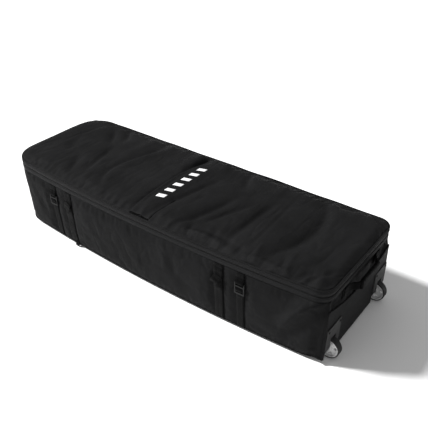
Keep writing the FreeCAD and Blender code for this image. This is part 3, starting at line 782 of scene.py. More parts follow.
END_FOLDS = [
    # (points (y, z), height, widths) on the fabric above the kick panel
    ([(-0.196, 0.246), (-0.170, 0.225), (-0.150, 0.208)], -0.0050, 0.007, 0.012),
    ([(-0.180, 0.250), (-0.140, 0.236), (-0.118, 0.214)], 0.0040, 0.009, 0.007),
    ([(-0.090, 0.240), (-0.040, 0.222), (0.060, 0.226)], -0.0060, 0.012, 0.020),
    ([(-0.060, 0.205), (0.010, 0.196), (0.080, 0.206)], 0.0035, 0.010, 0.010),
    ([(0.180, 0.246), (0.205, 0.228), (0.215, 0.205)], -0.0040, 0.009, 0.012),
]


BASE_TAPER = 0.009
STRAP_DENT = 0.0012
END_RECESS = 0.0065


def near_any(values, places, reach):
    """True where a value lies within reach of one of the places."""
    return np.any([np.abs(values - place) < reach for place in places], axis=0)


def off_straps(x, width):
    """0 under the middle of a strap, 1 away from all of them."""
    return np.prod([1 - np.exp(-((x - place) / width) ** 2) for place in STRAP_PLACES], axis=0)


def wall_inset(names, lean, x, y, z):
    """How far the outer face lies inside the nominal one, before simulation."""
    rise = (z - BASE_Z) / (HINGE_Z - BASE_Z)
    taper = BASE_TAPER * (1 - rise) ** 1.4
    belly = np.sin(np.clip(rise, 0, 1) * math.pi) ** 0.8
    long_side = np.isin(names, ["near", "far"])
    bulge = np.where(long_side, 0.0050, 0.0030) * belly
    bulge = bulge * (1 - 0.7 * ramp(np.abs(x - (HEAD_X + FRONT) / 2), 0.62, 0.70))
    kick_share = ramp(x, FRONT - 0.03, FRONT - 0.004)
    taper = taper * np.where(x > 0, np.abs(lean), 1.0)
    bulge = bulge * (1 - kick_share)
    for place in STRAP_PLACES:
        near_strap = np.exp(-((x - place) / 0.026) ** 2) * long_side
        bulge = bulge * (1 - near_strap) - STRAP_DENT * near_strap * belly
    recess = kick_share * ramp(z, kick_top(y), kick_top(y) + 0.010)
    recess = recess * (1 - ramp(z, HINGE_Z - 0.012, HINGE_Z - 0.001))
    recess = recess * ramp(y, KICK_LOW, KICK_LOW + 0.035)
    recess = recess * (1 - ramp(y, KICK_HIGH - 0.035, KICK_HIGH))
    for anchor in ANCHOR_SPOTS:
        recess = recess * (1 - np.exp(-((y - anchor) / 0.024) ** 4))
    return taper - bulge + END_RECESS * recess


CORNER_RISE = 0.012


def corner_lift(x, lean):
    """The long sides' bottom edge curves up a little towards the wheel end."""
    return CORNER_RISE * ramp(x, FRONT - 0.080, FRONT - 0.004) * np.abs(lean)


def kick_top(y):
    """Height of the kick panel's curved top edge."""
    half = (KICK_HIGH - KICK_LOW) / 2
    dip = 0.040
    bend = (half * half + dip * dip) / (2 * dip)
    across = np.clip(np.abs(y - (KICK_LOW + KICK_HIGH) / 2), 0, half)
    return KICK_TOP - dip + bend - np.sqrt(bend ** 2 - across ** 2)


def wall_face(z, depth):
    """Points of the wall at one level, a given depth inside its outer face."""
    radius = TUB_R + (LID_R - TUB_R) * float(ramp(z, HINGE_Z - 0.075, HINGE_Z))
    places, outward, names = plan(radius, 0)
    x, y = places.T
    level = np.full(len(places), z)
    share = np.clip((z - BASE_Z) / (HINGE_Z - BASE_Z), 0, 1)
    uneven = 0.0009 * ripple(x + y, level, 3, 0.11) * np.sin(share * math.pi)
    inset = wall_inset(names, outward[:, 1], x, y, level) - uneven + depth
    face = flat_path(places - outward * inset[:, None], z)
    face[:, 2] += corner_lift(face[:, 0], outward[:, 1]) * (1 - share) ** 4
    return face


def snapped(levels):
    """The levels, with the nearest one moved to the top of the wheel mouths."""
    levels[np.abs(levels - MOUTH_TOP).argmin()] = MOUTH_TOP
    return levels


def cut_mouths(piece):
    """Opens a wall where the wheels come through, and closes the cut edges."""
    slack = 0.0004

    def in_mouth(face):
        x, y, z = np.array([v.co for v in face.verts]).T
        if x.min() < FRONT - 0.03 or z.max() > MOUTH_TOP + slack:
            return False
        return any(first - slack < y.min() and y.max() < last + slack for first, last in MOUTHS)

    with editing(piece.data) as build:
        gone = [face for face in build.faces if in_mouth(face)]
        bmesh.ops.delete(build, geom=gone, context="FACES")
        rim = [e for e in build.edges if e.is_boundary]
        bmesh.ops.holes_fill(build, edges=rim, sides=0)
        bmesh.ops.recalc_face_normals(build, faces=build.faces[:])


def build_tub_cover():
    """Shell cloth over foam: near side, both ends and far side in one ring."""
    levels = snapped(np.linspace(BASE_Z - 0.001, HINGE_Z - 0.0006, 36))
    points = np.stack([wall_face(z, 0.0) for z in levels]
                      + [wall_face(z, FOAM_WALL) for z in levels[::-1][::5]])
    piece = lattice_piece("tub_cover", points, "shell_fabric", close_rows=True, close_cols=True)
    rows, cols = len(levels), points.shape[1]
    row, col = np.divmod(np.arange(len(points) * cols), cols)
    x, y, z = points.reshape(-1, 3).T
    names = STRETCH[col]
    wheel_end = x > FRONT - 0.012
    sewn = np.isin(names, ["near_corner", "far_corner"])
    sewn |= np.isin(names, ["near", "far"]) & near_any(x, STRAP_PLACES, 0.021)
    sewn |= wheel_end & (z < kick_top(y) + 0.004)
    sewn |= wheel_end & (z > 0.21) & near_any(y, ANCHOR_SPOTS, 0.022)
    puff(piece, sewn | (row == 0) | (row >= rows - 1), 0.016, 3.0, 0.003, 0.0055)
    carve_walls(piece, row < rows, names)
    cut_mouths(piece)
    return piece


FOLD_CAP = 0.0068


def carve_walls(piece, outer, names):
    """Presses the larger folds into the outer face: near side, far side, wheel end."""
    co = read(piece.data)
    x, y, z = co.T.copy()
    edge = ramp(z, BASE_Z, BASE_Z + 0.02) * (1 - ramp(z, HINGE_Z - 0.012, HINGE_Z - 0.002))
    calm = off_straps(x, 0.024) * (1 - ramp(x, FRONT - 0.016, FRONT - 0.003))
    near = outer & np.isin(names, ["near", "near_corner"])
    lift = 1.3 * fold_height(x[near], z[near], NEAR_FOLDS) * calm[near]
    lift = np.where(lift < 0, -FOLD_CAP * np.tanh(-lift / FOLD_CAP), lift)
    co[near, 1] -= lift * edge[near] + gather_height(x[near], z[near]) * calm[near]
    far = outer & (names == "far")
    mirrored = fold_height(-x[far] * 0.9, z[far], NEAR_FOLDS[4:])
    co[far, 1] += 0.8 * mirrored * calm[far] * edge[far]
    end = outer & (names == "wheel") & (z > kick_top(y) + 0.003)
    folded = x[end] + 0.6 * fold_height(y[end], z[end], END_FOLDS) * edge[end]
    co[end, 0] = np.maximum(folded, FRONT - FOAM_WALL + 0.0018)
    inside = ~outer & (names == "wheel")
    co[inside, 0] = np.maximum(x[inside], FRONT - FOAM_WALL - 0.0010)
    write(piece.data, co)


def gather_height(x, z):
    """Short upright puckers where the wall is sewn to the zip band."""
    depth = ramp(z, HINGE_Z - 0.036, HINGE_Z - 0.010) * (1 - ramp(z, HINGE_Z - 0.005, HINGE_Z))
    busy = 0.35 + 0.65 * np.exp(-((x - 0.27) / 0.09) ** 2) + 0.4 * np.exp(-((x + 0.2) / 0.1) ** 2)
    wave = np.sin(x * 2 * math.pi / 0.021 + 2.2 * ripple(x, 0, 11, 0.16))
    return 0.0011 * busy * depth * wave


# --- Lid ---

LID_FOLDS = [
    # (points (x, y), height, width on the left, width on the right)
    ([(-0.219, -0.224), (-0.284, -0.014), (-0.242, 0.111), (-0.238, 0.235)], 0.0048, 0.020, 0.014),
    ([(-0.257, -0.190), (-0.310, -0.055), (-0.280, 0.073), (-0.276, 0.210)], -0.0042, 0.016, 0.013),
    ([(-0.062, 0.080), (-0.058, 0.170), (-0.051, 0.238)], -0.0055, 0.010, 0.018),
    ([(-0.100, 0.040), (-0.092, 0.150), (-0.088, 0.236)], 0.0036, 0.022, 0.014),
    ([(0.013, -0.235), (0.030, -0.150), (0.052, -0.040), (0.093, 0.120)], -0.0034, 0.010, 0.016),
    ([(0.060, -0.225), (0.085, -0.120), (0.110, 0.020)], 0.0036, 0.018, 0.020),
    ([(0.130, -0.214), (0.176, -0.110), (0.208, 0.040)], -0.0046, 0.015, 0.020),
    ([(0.085, -0.125), (0.100, -0.070), (0.108, -0.010)], -0.0030, 0.012, 0.014),
    ([(0.200, -0.180), (0.240, -0.060), (0.310, 0.060)], -0.0038, 0.014, 0.018),
    ([(0.303, -0.234), (0.296, -0.078), (0.312, 0.090), (0.308, 0.238)], 0.0046, 0.020, 0.012),
    ([(0.335, -0.200), (0.332, -0.060), (0.345, 0.080)], -0.0036, 0.012, 0.018),
    ([(0.405, -0.185), (0.398, -0.050), (0.380, 0.205)], -0.0020, 0.004, 0.006),
    ([(0.385, -0.150), (0.378, -0.040), (0.362, 0.150)], -0.0014, 0.003, 0.005),
    ([(0.447, 0.225), (0.530, 0.080), (0.520, -0.080), (0.460, -0.198)], -0.0056, 0.020, 0.026),
    ([(0.500, 0.215), (0.580, 0.090), (0.575, -0.050)], 0.0034, 0.026, 0.026),
    ([(0.571, -0.214), (0.589, -0.117), (0.607, 0.045)], 0.0034, 0.018, 0.018),
    ([(0.634, -0.218), (0.660, -0.170), (0.690, -0.120)], -0.0040, 0.008, 0.010),
    ([(0.600, -0.222), (0.622, -0.190), (0.650, -0.165)], -0.0034, 0.007, 0.010),
    ([(0.587, 0.233), (0.556, 0.215), (0.520, 0.206)], -0.0030, 0.012, 0.014),
    ([(-0.568, 0.201), (-0.510, 0.130), (-0.463, 0.067)], -0.0034, 0.016, 0.020),
    ([(-0.520, 0.236), (-0.470, 0.180), (-0.438, 0.120)], -0.0040, 0.014, 0.018),
    ([(-0.380, -0.150), (-0.410, -0.045), (-0.431, 0.050)], -0.0032, 0.016, 0.020),
    ([(-0.345, -0.211), (-0.352, -0.138), (-0.404, -0.029)], 0.0030, 0.014, 0.018),
    ([(-0.430, -0.205), (-0.450, -0.150), (-0.500, -0.080)], -0.0026, 0.014, 0.018),
    ([(-0.640, 0.060), (-0.600, 0.000), (-0.560, -0.100)], -0.0022, 0.022, 0.026),
    ([(-0.340, 0.225), (-0.330, 0.150), (-0.350, 0.060)], 0.0026, 0.018, 0.020),
    ([(0.150, 0.236), (0.165, 0.170), (0.200, 0.100)], -0.0034, 0.012, 0.018),
    ([(0.030, 0.236), (0.052, 0.180), (0.060, 0.110)], 0.0032, 0.014, 0.018),
    ([(0.153, -0.226), (0.250, -0.214), (0.380, -0.222)], 0.0056, 0.007, 0.010),
    ([(0.400, -0.226), (0.470, -0.208), (0.560, -0.212)], 0.0040, 0.007, 0.010),
    ([(0.180, -0.205), (0.290, -0.190), (0.420, -0.204)], -0.0030, 0.008, 0.010),
]

FOLD_GAIN = 2.1
VALLEY_GAIN = 1.35
SOFTNESS = 0.0009
FLAP_LEFT = low("lid_sleeve").x
FLAP_RIGHT = high("lid_sleeve").x
FLAP_BOW = 0.014
LID_TOP_LIMIT = CAD_BOX[1].z + 0.0165


def lid_columns():
    """X stations of the lid, closer together round its rounded corners."""
    head_turn = np.linspace(0, math.pi / 2, COUNTS["bend"] - 6, endpoint=False)
    straight = np.linspace(HEAD_X, FRONT - LID_R, int((FRONT - LID_R - HEAD_X) / 0.0068))
    wheel_turn = np.linspace(0, math.pi / 2, 11)[1:]
    return np.concatenate([HEAD_X - (HEAD_R - PIPE_R) * np.cos(head_turn), straight,
                           FRONT - LID_R + (LID_R - PIPE_R) * np.sin(wheel_turn)])


def corner_reach(run, radius):
    """How far a rounded corner has turned in, a run past its start."""
    run = np.clip(run, 0, radius)
    return radius - np.sqrt(radius ** 2 - run ** 2)


def lid_span(x):
    """Near and far limits of the lid's top at a given x, inside the piping."""
    reach = corner_reach(HEAD_X - x, HEAD_R - PIPE_R)
    reach = reach + corner_reach(x - (FRONT - LID_R), LID_R - PIPE_R)
    base = near_y(np.clip(x, HEAD_X, FRONT - LID_R))
    return base + PIPE_R + reach, FAR - PIPE_R - reach


def across(first, last, rows, x):
    """A grid of rows from the near limits to the far ones, over the stations x."""
    share = np.linspace(0, 1, rows)[:, None]
    return np.tile(x, (rows, 1)), first + share * (last - first)


def edge_distance(x, y):
    first, last = lid_span(x)
    ends = np.minimum(x - BACK, FRONT - x)
    return np.minimum(np.minimum(y - first, last - y), ends)


def seam_gathers():
    """Short folds that run in from the near seam, crowded towards the wheels."""
    folds = []
    x, index = 0.115, 0
    while x < 0.672:
        reach = 0.024 + 0.082 * abs(math.sin(index * 2.3 + 0.7)) ** 2
        lean = 0.010 + 0.046 * math.sin(index * 1.7)
        y = float(lid_span(np.array([x]))[0][0])
        rise = (0.0092 if index % 2 == 0 else -0.0046) * (0.62 + 0.38 * math.sin(index * 2.9))
        spots = [(x, y - 0.014), (x + lean * 0.3, y + reach * 0.4), (x + lean, y + reach)]
        folds.append((spots, rise, 0.0080 + 0.0040 * math.sin(index), 0.011))
        x += 0.025 + 0.014 * math.sin(index * 3.7)
        index += 1
    return folds


def pucker_height(x, y):
    """Short puckers that run in from the seam, strongest along the near side."""
    first, last = lid_span(x)
    total = 0
    for gap, strength, seed in ((y - first, 1.3, 5), (last - y, 1.5, 6)):
        lengths = 0.030 + 0.022 * ripple(x, 0, seed + 20, 0.19)
        depth = np.exp(-(np.clip(gap, 0, 1) / np.maximum(lengths, 0.01)) ** 2)
        start = ramp(gap, 0.001, 0.009)
        drift = 3.2 * ripple(x, 0, seed, 0.21)
        wave = np.sin(x * 2 * math.pi / 0.034 + gap * 38 + drift)
        fine = np.sin(x * 2 * math.pi / 0.017 - gap * 90 + 2 * drift)
        crowd = 1 - (0.6 * ramp(x, 0.08, 0.20) * (1 - ramp(x, 0.64, 0.70)) if seed == 5 else 0)
        total = total + strength * crowd * 0.0015 * depth * start * (wave + 0.35 * fine)
    return total


def lid_height(x, y):
    """Height of the lid's top before simulation."""
    inner = np.clip(edge_distance(x, y), 0, None)
    crown = 0.0062 * (1 - np.exp(-inner / 0.026)) + 0.0028 * ramp(inner, 0.02, 0.16)
    seam = 0.0015 + 0.0025 * (1 - np.exp(-inner / 0.006))
    return SEAM_Z + seam + crown


def build_lid_cover():
    """Padded top of the lid: a closed cushion between the piped edges."""
    x = lid_columns()
    grid_x, grid_y = across(*lid_span(x), 72, x)
    top = columns(grid_x, grid_y, lid_height(grid_x, grid_y))
    edge = np.zeros(grid_x.shape, bool)
    edge[[0, -1]] = True
    edge[:, [0, -1]] = True
    top[edge, 2] = SEAM_Z + 0.0006
    foam_z = low("lid_foam").z
    inward = ramp(edge_distance(grid_x, grid_y), 0, 0.008)
    bottom = columns(grid_x, grid_y, SEAM_Z - 0.0006 + (foam_z - SEAM_Z) * inward)
    piece = solid_sheet("lid_cover", top, bottom, "shell_fabric")
    flap = (np.abs(grid_x - FLAP_LEFT) < 0.004) & (grid_y < 0.06)
    held = np.concatenate([(edge | flap).ravel(), np.ones(edge.size, bool)])
    puff(piece, held, 0.013, 3.5, 0.004, 0.006)
    edge = edge.ravel()
    co = read(piece.data)
    tx, ty, z = co[:edge.size].T.copy()
    gap = edge_distance(tx, ty)
    calm = ramp(gap, 0.0, 0.010)
    lift = FOLD_GAIN * fold_height(tx, ty, LID_FOLDS) * calm
    lift = np.where(lift < 0, lift * VALLEY_GAIN, lift)
    lift += fold_height(tx, ty, seam_gathers()) * calm + pucker_height(tx, ty)
    lift += 0.0007 * ripple(tx, ty, 8, 0.09) * calm
    z = z + np.where(edge, 0, lift)
    knee = LID_TOP_LIMIT - 0.005
    z = np.where(z > knee, knee + 0.003 * (1 - np.exp(-(z - knee) / 0.003)), z)
    least = foam_z + 0.004
    least = least + (SEAM_Z + 0.0008 - least) * (1 - ramp(gap, 0.006, 0.035))
    spare = np.logaddexp(0, (z - least) / SOFTNESS) * SOFTNESS
    co[:edge.size, 2] = np.where(edge, z, least + spare)
    write(piece.data, co)
    return piece


# --- Zip band, piping and hinge cloth ---

def wobble(places, outward, amount, seed, scale):
    """Moves a path in and out a little, as a sewn edge wanders."""
    along = along_line(places)
    drift = ripple(along, 0, seed, scale)
    fade = np.minimum(ramp(along, 0, 0.05), 1 - ramp(along, along[-1] - 0.05, along[-1]))
    return places + outward * (drift * amount * fade)[:, None]


TUB_BAND = [(-0.0016, 0.0000), (0.0004, 0.0000), (0.0018, 0.0010), (0.0021, 0.0026),
            (0.0011, 0.0040), (0.0018, 0.0058), (0.0025, 0.0105), (0.0019, 0.0152),
            (0.0010, 0.0166), (0.0014, 0.0180), (0.0006, 0.0189), (-0.0016, 0.0188)]
LID_BAND = [(-0.0016, 0.0000), (0.0006, 0.0000), (0.0014, 0.0009), (0.0010, 0.0022),
            (0.0019, 0.0036), (0.0026, 0.0080), (0.0019, 0.0125), (0.0009, 0.0140),
            (0.0017, 0.0155), (0.0008, 0.0170), (-0.0016, 0.0170)]


def build_band(name, profile, height, seed):
    """One half of the zip band, swept round the zipped sides."""
    places, outward = zip_run(LID_R, 0)
    places = wobble(places, outward, 0.0006, seed, 0.16)
    path = flat_path(places, height)
    if height > ZIP_Z:
        path[:, 2] += 0.0005 * ripple(np.arange(len(places)) * SPACING, 0, seed + 1, 0.2)
    return sweep(name, path, flat_out(outward), profile, "zip_tape")


def build_teeth(name, low_z, high_z, shift):
    """The row of nylon teeth along one edge of the zip."""
    places, outward = zip_run(LID_R, 0.0012)
    along = along_line(places)
    pitch = 0.0023
    marks = np.arange(pitch * (1 + shift), along[-1] - pitch, pitch)
    centre, out = (np.stack([np.interp(marks, along, part) for part in field.T], 1)
                   for field in (places, outward))
    out /= np.linalg.norm(out, axis=1, keepdims=True)
    way = np.stack([-out[:, 1], out[:, 0]], 1)
    points, faces = [], []
    half, depth = 0.00062, 0.0010
    outline = [(-1, -0.6), (-0.5, -1), (0.5, -1), (1, -0.6),
               (1, 0.6), (0.5, 1), (-0.5, 1), (-1, 0.6)]
    count = len(outline)
    for index in range(len(marks)):
        start = len(points)
        for z in (low_z, high_z):
            for a, b in outline:
                spot = centre[index] + way[index] * a * half + out[index] * b * depth
                points.append((*spot, z))
        faces += [[start + k, start + (k + 1) % count, start + count + (k + 1) % count,
                   start + count + k] for k in range(count)]
        faces.append([start + k for k in range(count)][::-1])
        faces.append([start + count + k for k in range(count)])
    return turn_outward(make_piece(name, points, faces, None, "zip_coil", smooth=False))


def build_lid_piping():
    """Piping round the lid's seam, a little wavier on the hinged side."""
    places, outward, _ = plan(LID_R, 0)
    hinged = STRETCH == "far"
    along = along_line(places)
    drift = ripple(along, 0, 4, 0.17) * np.where(hinged, 0.0012, 0.0007)
    path = flat_path(places + outward * drift[:, None], SEAM_Z)
    path[:, 2] += ripple(along, 0, 9, 0.13) * np.where(hinged, 0.0011, 0.0006)
    path[:, 2] = np.maximum(path[:, 2], SEAM_Z - 0.0006)
    return sweep("lid_seam_piping", path, flat_out(outward), ring(PIPE_R, 10), "binding",
                 closed=True)


def build_bottom_piping():
    """Piping where the walls meet the base, all round except the wheel end."""
    places = wall_face(BASE_Z, 0.0)
    outward = plan(TUB_R, 0)[1]
    order = np.r_[ZIP_LAST + 2:len(places), 0:int(np.flatnonzero(STRETCH == "wheel")[0])]
    path = places[order]
    path[:, 2] -= 0.0004
    return sweep("base_seam_piping", path, flat_out(outward[order]), ring(0.0023, 10), "binding")


def build_gusset():
    """Cloth of the hinged side: sewn to the tub, it turns up into the lid."""
    x = np.linspace(HEAD_X - 0.004, FRONT - LID_R + 0.004, 130)
    rows = [(0.0002, -0.0085), (0.0013, -0.0080), (0.0016, -0.0045), (0.0012, -0.0020),
            (0.0008, 0.0), (0.0008, 0.0012), (0.0010, 0.0025), (0.0016, 0.0060), (0.0024, 0.0120),
            (0.0028, 0.0200), (0.0022, 0.0300), (0.0012, 0.0370),
            (0.0006, SEAM_Z - HINGE_Z - 0.002)]
    outer, inner = [], []
    for out, up in rows:
        pleat = 0.0009 * ripple(x, up * 3, 12, 0.10) * float(ramp(up, 0.004, 0.015))
        pleat = pleat * (1 - float(ramp(up, 0.030, 0.040)))
        thick = 0.0010 if up < 0.002 else 0.0024
        outer.append(columns(x, FAR + out + pleat, HINGE_Z + up))
        inner.append(columns(x, FAR + out + pleat - thick, HINGE_Z + up))
    piece = solid_sheet("hinge_gusset", np.stack(outer), np.stack(inner), "shell_fabric")
    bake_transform(piece)
    return piece


def build_hinge_tape():
    """Binding tape over the lining's top edge inside the hinged side."""
    lowest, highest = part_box("hinge_binding")
    x = np.linspace(lowest.x, highest.x, 90)
    up = np.linspace(0, 1, 7)[:, None]
    z = lowest.z + (highest.z - lowest.z) * up
    front = columns(x, lowest.y + 0.0004 - 0.0005 * np.sin(up * math.pi), z)
    rear = columns(x, lowest.y + 0.0016, z)
    return solid_sheet("hinge_tape", front, rear, "binding")


# --- Lid details: flap, printed bars, lining ---

def drop_on(tree, x, y, start=1.0):
    hit = tree.ray_cast(Vector((x, y, start)), Vector((0, 0, -1)))
    return hit[0].z if hit[0] is not None else SEAM_Z


def build_flap(tree):
    """A raised strip across the lid, sewn down with an open mouth at the near side."""
    first = low("lid_sleeve").y - 0.008
    last = high("lid_sleeve").y + 0.006
    y = np.linspace(first, last, 84)
    share = np.linspace(0, 1, 21)
    far_share = (y - first) / (last - first)
    left = FLAP_LEFT + 0.002 - FLAP_BOW * np.sin(far_share * math.pi)
    right = FLAP_RIGHT - 0.004 + 0.010 * ramp(far_share, 0.3, 1.0)
    grid_x = left[None, :] + share[:, None] * (right - left)[None, :]
    grid_y = np.tile(y, (len(share), 1))
    ground = np.array([[drop_on(tree, *spot) for spot in zip(*row)] for row in zip(grid_x, grid_y)])
    smooth = ground.copy()
    for _ in range(6):
        smooth[1:-1] = (smooth[:-2] + 2 * smooth[1:-1] + smooth[2:]) / 4
        smooth[:, 1:-1] = (smooth[:, :-2] + 2 * smooth[:, 1:-1] + smooth[:, 2:]) / 4
    mouth = 1 - ramp(y - first, 0.0, 0.05)
    arch = np.sin(share * math.pi)[:, None] ** 0.7
    left_roll = np.exp(-(share / 0.10) ** 2)[:, None] * (1 - 0.8 * ramp(far_share, 0.50, 0.85))
    right_roll = np.exp(-((1 - share) / 0.08) ** 2)[:, None] * (1 - ramp(far_share, 0.05, 0.35))
    rise = 0.0012 + 0.0018 * left_roll + 0.0014 * right_roll + 0.0046 * arch * mouth
    blending = ramp(share, 0.62, 1.0)[:, None] * ramp(far_share, 0.04, 0.30)
    rise = rise * (1 - blending) - 0.0004 * blending
    edge = np.minimum(share, 1 - share)[:, None] * (right - left)[None, :]
    tucked = 1 - ramp(edge, 0.0, 0.0035)
    face = np.maximum(smooth, ground) + rise - tucked * (rise + 0.0006)
    closed_end = ramp(far_share, 0.985, 1.0)
    face -= (rise + 0.0008) * closed_end * (1 - tucked)
    top = columns(grid_x, grid_y, face)
    piece = solid_sheet("lid_flap", top, columns(grid_x, grid_y, face - 0.0010), "shell_fabric")
    return piece, first


def build_flap_mouth(tree, first):
    """Dark webbing strip across the flap's open mouth: painted shade for the hollow under the
    raised flap.
    """
    x = np.linspace(FLAP_LEFT + 0.004, FLAP_RIGHT - 0.006, 30)
    rows = []
    for back, up in ((-0.0035, 0.0002), (-0.0035, 0.0013), (0.012, 0.0016), (0.012, 0.0002)):
        rows.append([(a, first + back, drop_on(tree, a, first + back) + up) for a in x])
    return lattice_piece("flap_mouth_shade_strip", np.array(rows), "webbing", close_rows=True, caps=True)


def build_bars(tree):
    """Plain slanted bars printed on the flap."""
    lowest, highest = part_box("lid_print")
    bars, width, slant = 6, 0.020, 0.008
    pitch = (highest.y - lowest.y - width - slant) / (bars - 1)
    points, faces = [], []
    count = 9
    quads = lattice(count, count)[0]
    rim = [k for k in range(count)]
    rim += [count * k + count - 1 for k in range(1, count)]
    rim += [count * (count - 1) + k for k in range(count - 2, -1, -1)]
    rim += [count * k for k in range(count - 2, 0, -1)]
    for bar in range(bars):
        base = lowest.y + pitch * bar
        start = len(points)
        for layer in (0.00055, -0.0003):
            for i in range(count):
                for j in range(count):
                    u, v = i / (count - 1), j / (count - 1)
                    x = lowest.x + u * (highest.x - lowest.x)
                    y = base + v * width + u * slant
                    points.append((x, y, drop_on(tree, x, y) + layer))
        faces += (quads + start).tolist()
        faces += (quads[:, ::-1] + start + count * count).tolist()
        for a, b in zip(rim, rim[1:] + rim[:1]):
            faces.append([start + a, start + b, start + b + count * count,
                          start + a + count * count])
    return turn_outward(make_piece("lid_bars", points, faces, None, "print"))


def build_lid_lining():
    """Lining under the lid, pleated along its seam."""
    x = lid_columns()[2:-1:2]
    first, last = lid_span(x)
    inset = 0.004
    x = np.clip(x, BACK + inset, FRONT - inset)
    grid_x, grid_y = across(first + inset, last - inset, 44, x)
    gap = np.clip(edge_distance(grid_x, grid_y) - inset, 0, None)
    sag = ramp(gap, 0, 0.03) * (0.6 + 0.5 * ripple(grid_x, grid_y, 17, 0.15))
    face = low("lid_lining").z + 0.0003 - 0.0030 * sag
    pleats = np.sin(grid_x * 2 * math.pi / 0.052 + 2 * ripple(grid_x, 0, 18, 0.2))
    face += 0.0011 * pleats * np.exp(-(gap / 0.035) ** 2) * ramp(gap, 0, 0.006)
    over = columns(grid_x, grid_y, high("lid_lining").z)
    return solid_sheet("lid_inside", columns(grid_x, grid_y, face), over, "lining")


# --- Inside of the tub and the base ---

def build_wall_lining():
    """Lining inside the foam of the walls, open where the wheels come through."""
    lowest, highest = low("tub_lining").z, high("tub_lining").z
    levels = snapped(np.linspace(highest + 0.0004, lowest + 0.0015, 22))
    rear = np.stack([wall_face(level, FOAM_WALL + 0.0003) for level in levels])
    outward = flat_out(plan(TUB_R, 0)[1])
    along = along_line(rear[0, :, :2])
    front = rear.copy()
    for level, row in zip(levels, front):
        share = (level - lowest) / (levels[0] - lowest)
        calm = math.sin(min(max(share, 0), 1) * math.pi)
        sag = (0.0012 + 0.0014 * ripple(along, level * 0.7, 21, 0.17)) * calm
        row -= outward * (0.0012 + np.clip(sag, 0, None))[:, None]
    piece = solid_sheet("tub_inside", front, rear, "lining", close_cols=True)
    cut_mouths(piece)
    return piece


def holed_sheet(name, grid, holes, material, thick):
    """A thick cloth over a grid of points, without the quads inside a hole's box."""
    points = grid.reshape(-1, 3)
    quads = lattice(*grid.shape[:2])[0]
    keep = np.ones(len(quads), bool)
    for lowest, highest in holes:
        inside = (points > np.array(lowest) - SNUG) & (points < np.array(highest) + SNUG)
        keep &= ~inside.all(1)[quads].all(1)
    used = np.unique(quads[keep])
    renumber = np.full(len(points), -1)
    renumber[used] = np.arange(len(used))
    piece = make_piece(name, points[used], renumber[quads[keep]].tolist(), None, material)
    return thicken(piece, thick)


def plan_sheet(name, inset, depth_z, taper, material, margin):
    """A cloth over the whole plan with the wheel housings cut out of it."""
    wheel_end, head = FRONT - TUB_R, HEAD_R - inset
    head_turn = np.linspace(0, math.pi / 2, 18, endpoint=False)
    wheel_turn = np.linspace(0, math.pi / 2, 5)[1:]
    x = np.concatenate([HEAD_X - head * np.cos(head_turn), np.linspace(HEAD_X, wheel_end, 150),
                        wheel_end + (TUB_R - inset) * np.sin(wheel_turn)])
    reach = corner_reach(HEAD_X - x, head) + taper * (1 - ramp(x, FRONT - 0.03, FRONT - 0.004))
    reach = reach + corner_reach(x - wheel_end, max(TUB_R - inset, 0.001))
    first = near_y(np.clip(x, HEAD_X, wheel_end)) + inset + reach
    grid_x, grid_y = across(first, FAR - inset - reach, 62, x)
    holes = []
    for side in ("near", "far"):
        lowest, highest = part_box(side + "_wheel_housing")
        x0, y0, y1 = lowest.x - margin, lowest.y - margin, highest.y + margin
        holes.append(((x0, y0, -1), (1, y1, 1)))
        inside = (grid_x > x0) & (grid_y > y0) & (grid_y < y1)
        to_low, to_high, to_back = grid_y - y0, y1 - grid_y, grid_x - x0
        nearest = np.minimum(np.minimum(to_low, to_high), to_back)
        grid_x = np.where(inside & (nearest == to_back), x0, grid_x)
        grid_y = np.where(inside & (nearest == to_low), y0, grid_y)
        grid_y = np.where(inside & (nearest == to_high), y1, grid_y)
    grid = columns(grid_x, grid_y, depth_z(grid_x, grid_y))
    return holed_sheet(name, grid, holes, material, 0.0010)


def gap_side(x, y, inset):
    """Distance in from the nearer long side, itself moved in by the inset."""
    first = near_y(np.clip(x, HEAD_X, FRONT)) + inset
    return np.minimum(y - first, FAR - inset - y)


def belly_z(x, y):
    """The base sags from its seam to the ground in a broad flat belly."""
    side = gap_side(x, y, BASE_TAPER)
    gap = np.minimum(side, np.minimum(x - BACK, FRONT - 0.06 - x))
    rim = BASE_Z - 0.0016
    uneven = 0.0011 * (ripple(x, y, 31, 0.14) + 0.6) * ramp(gap, 0, 0.03)
    rise = corner_lift(x, 1.0) * (1 - ramp(side, 0.002, 0.014))
    sag = rim * (1 - ramp(gap, -0.004, 0.075)) + np.clip(uneven, 0, None) * 0.8
    return np.maximum(sag, 0.0013) + rise


def floor_z(x, y):
    """The lining's slack over the base board."""
    gap = np.minimum(gap_side(x, y, 0), np.minimum(x - BACK, FRONT - x)) - WALL
    slack = 0.0016 * ramp(gap, 0.0, 0.03) * (0.7 + 0.6 * ripple(x, y, 33, 0.18))
    return LINING_Z - 0.0012 + slack


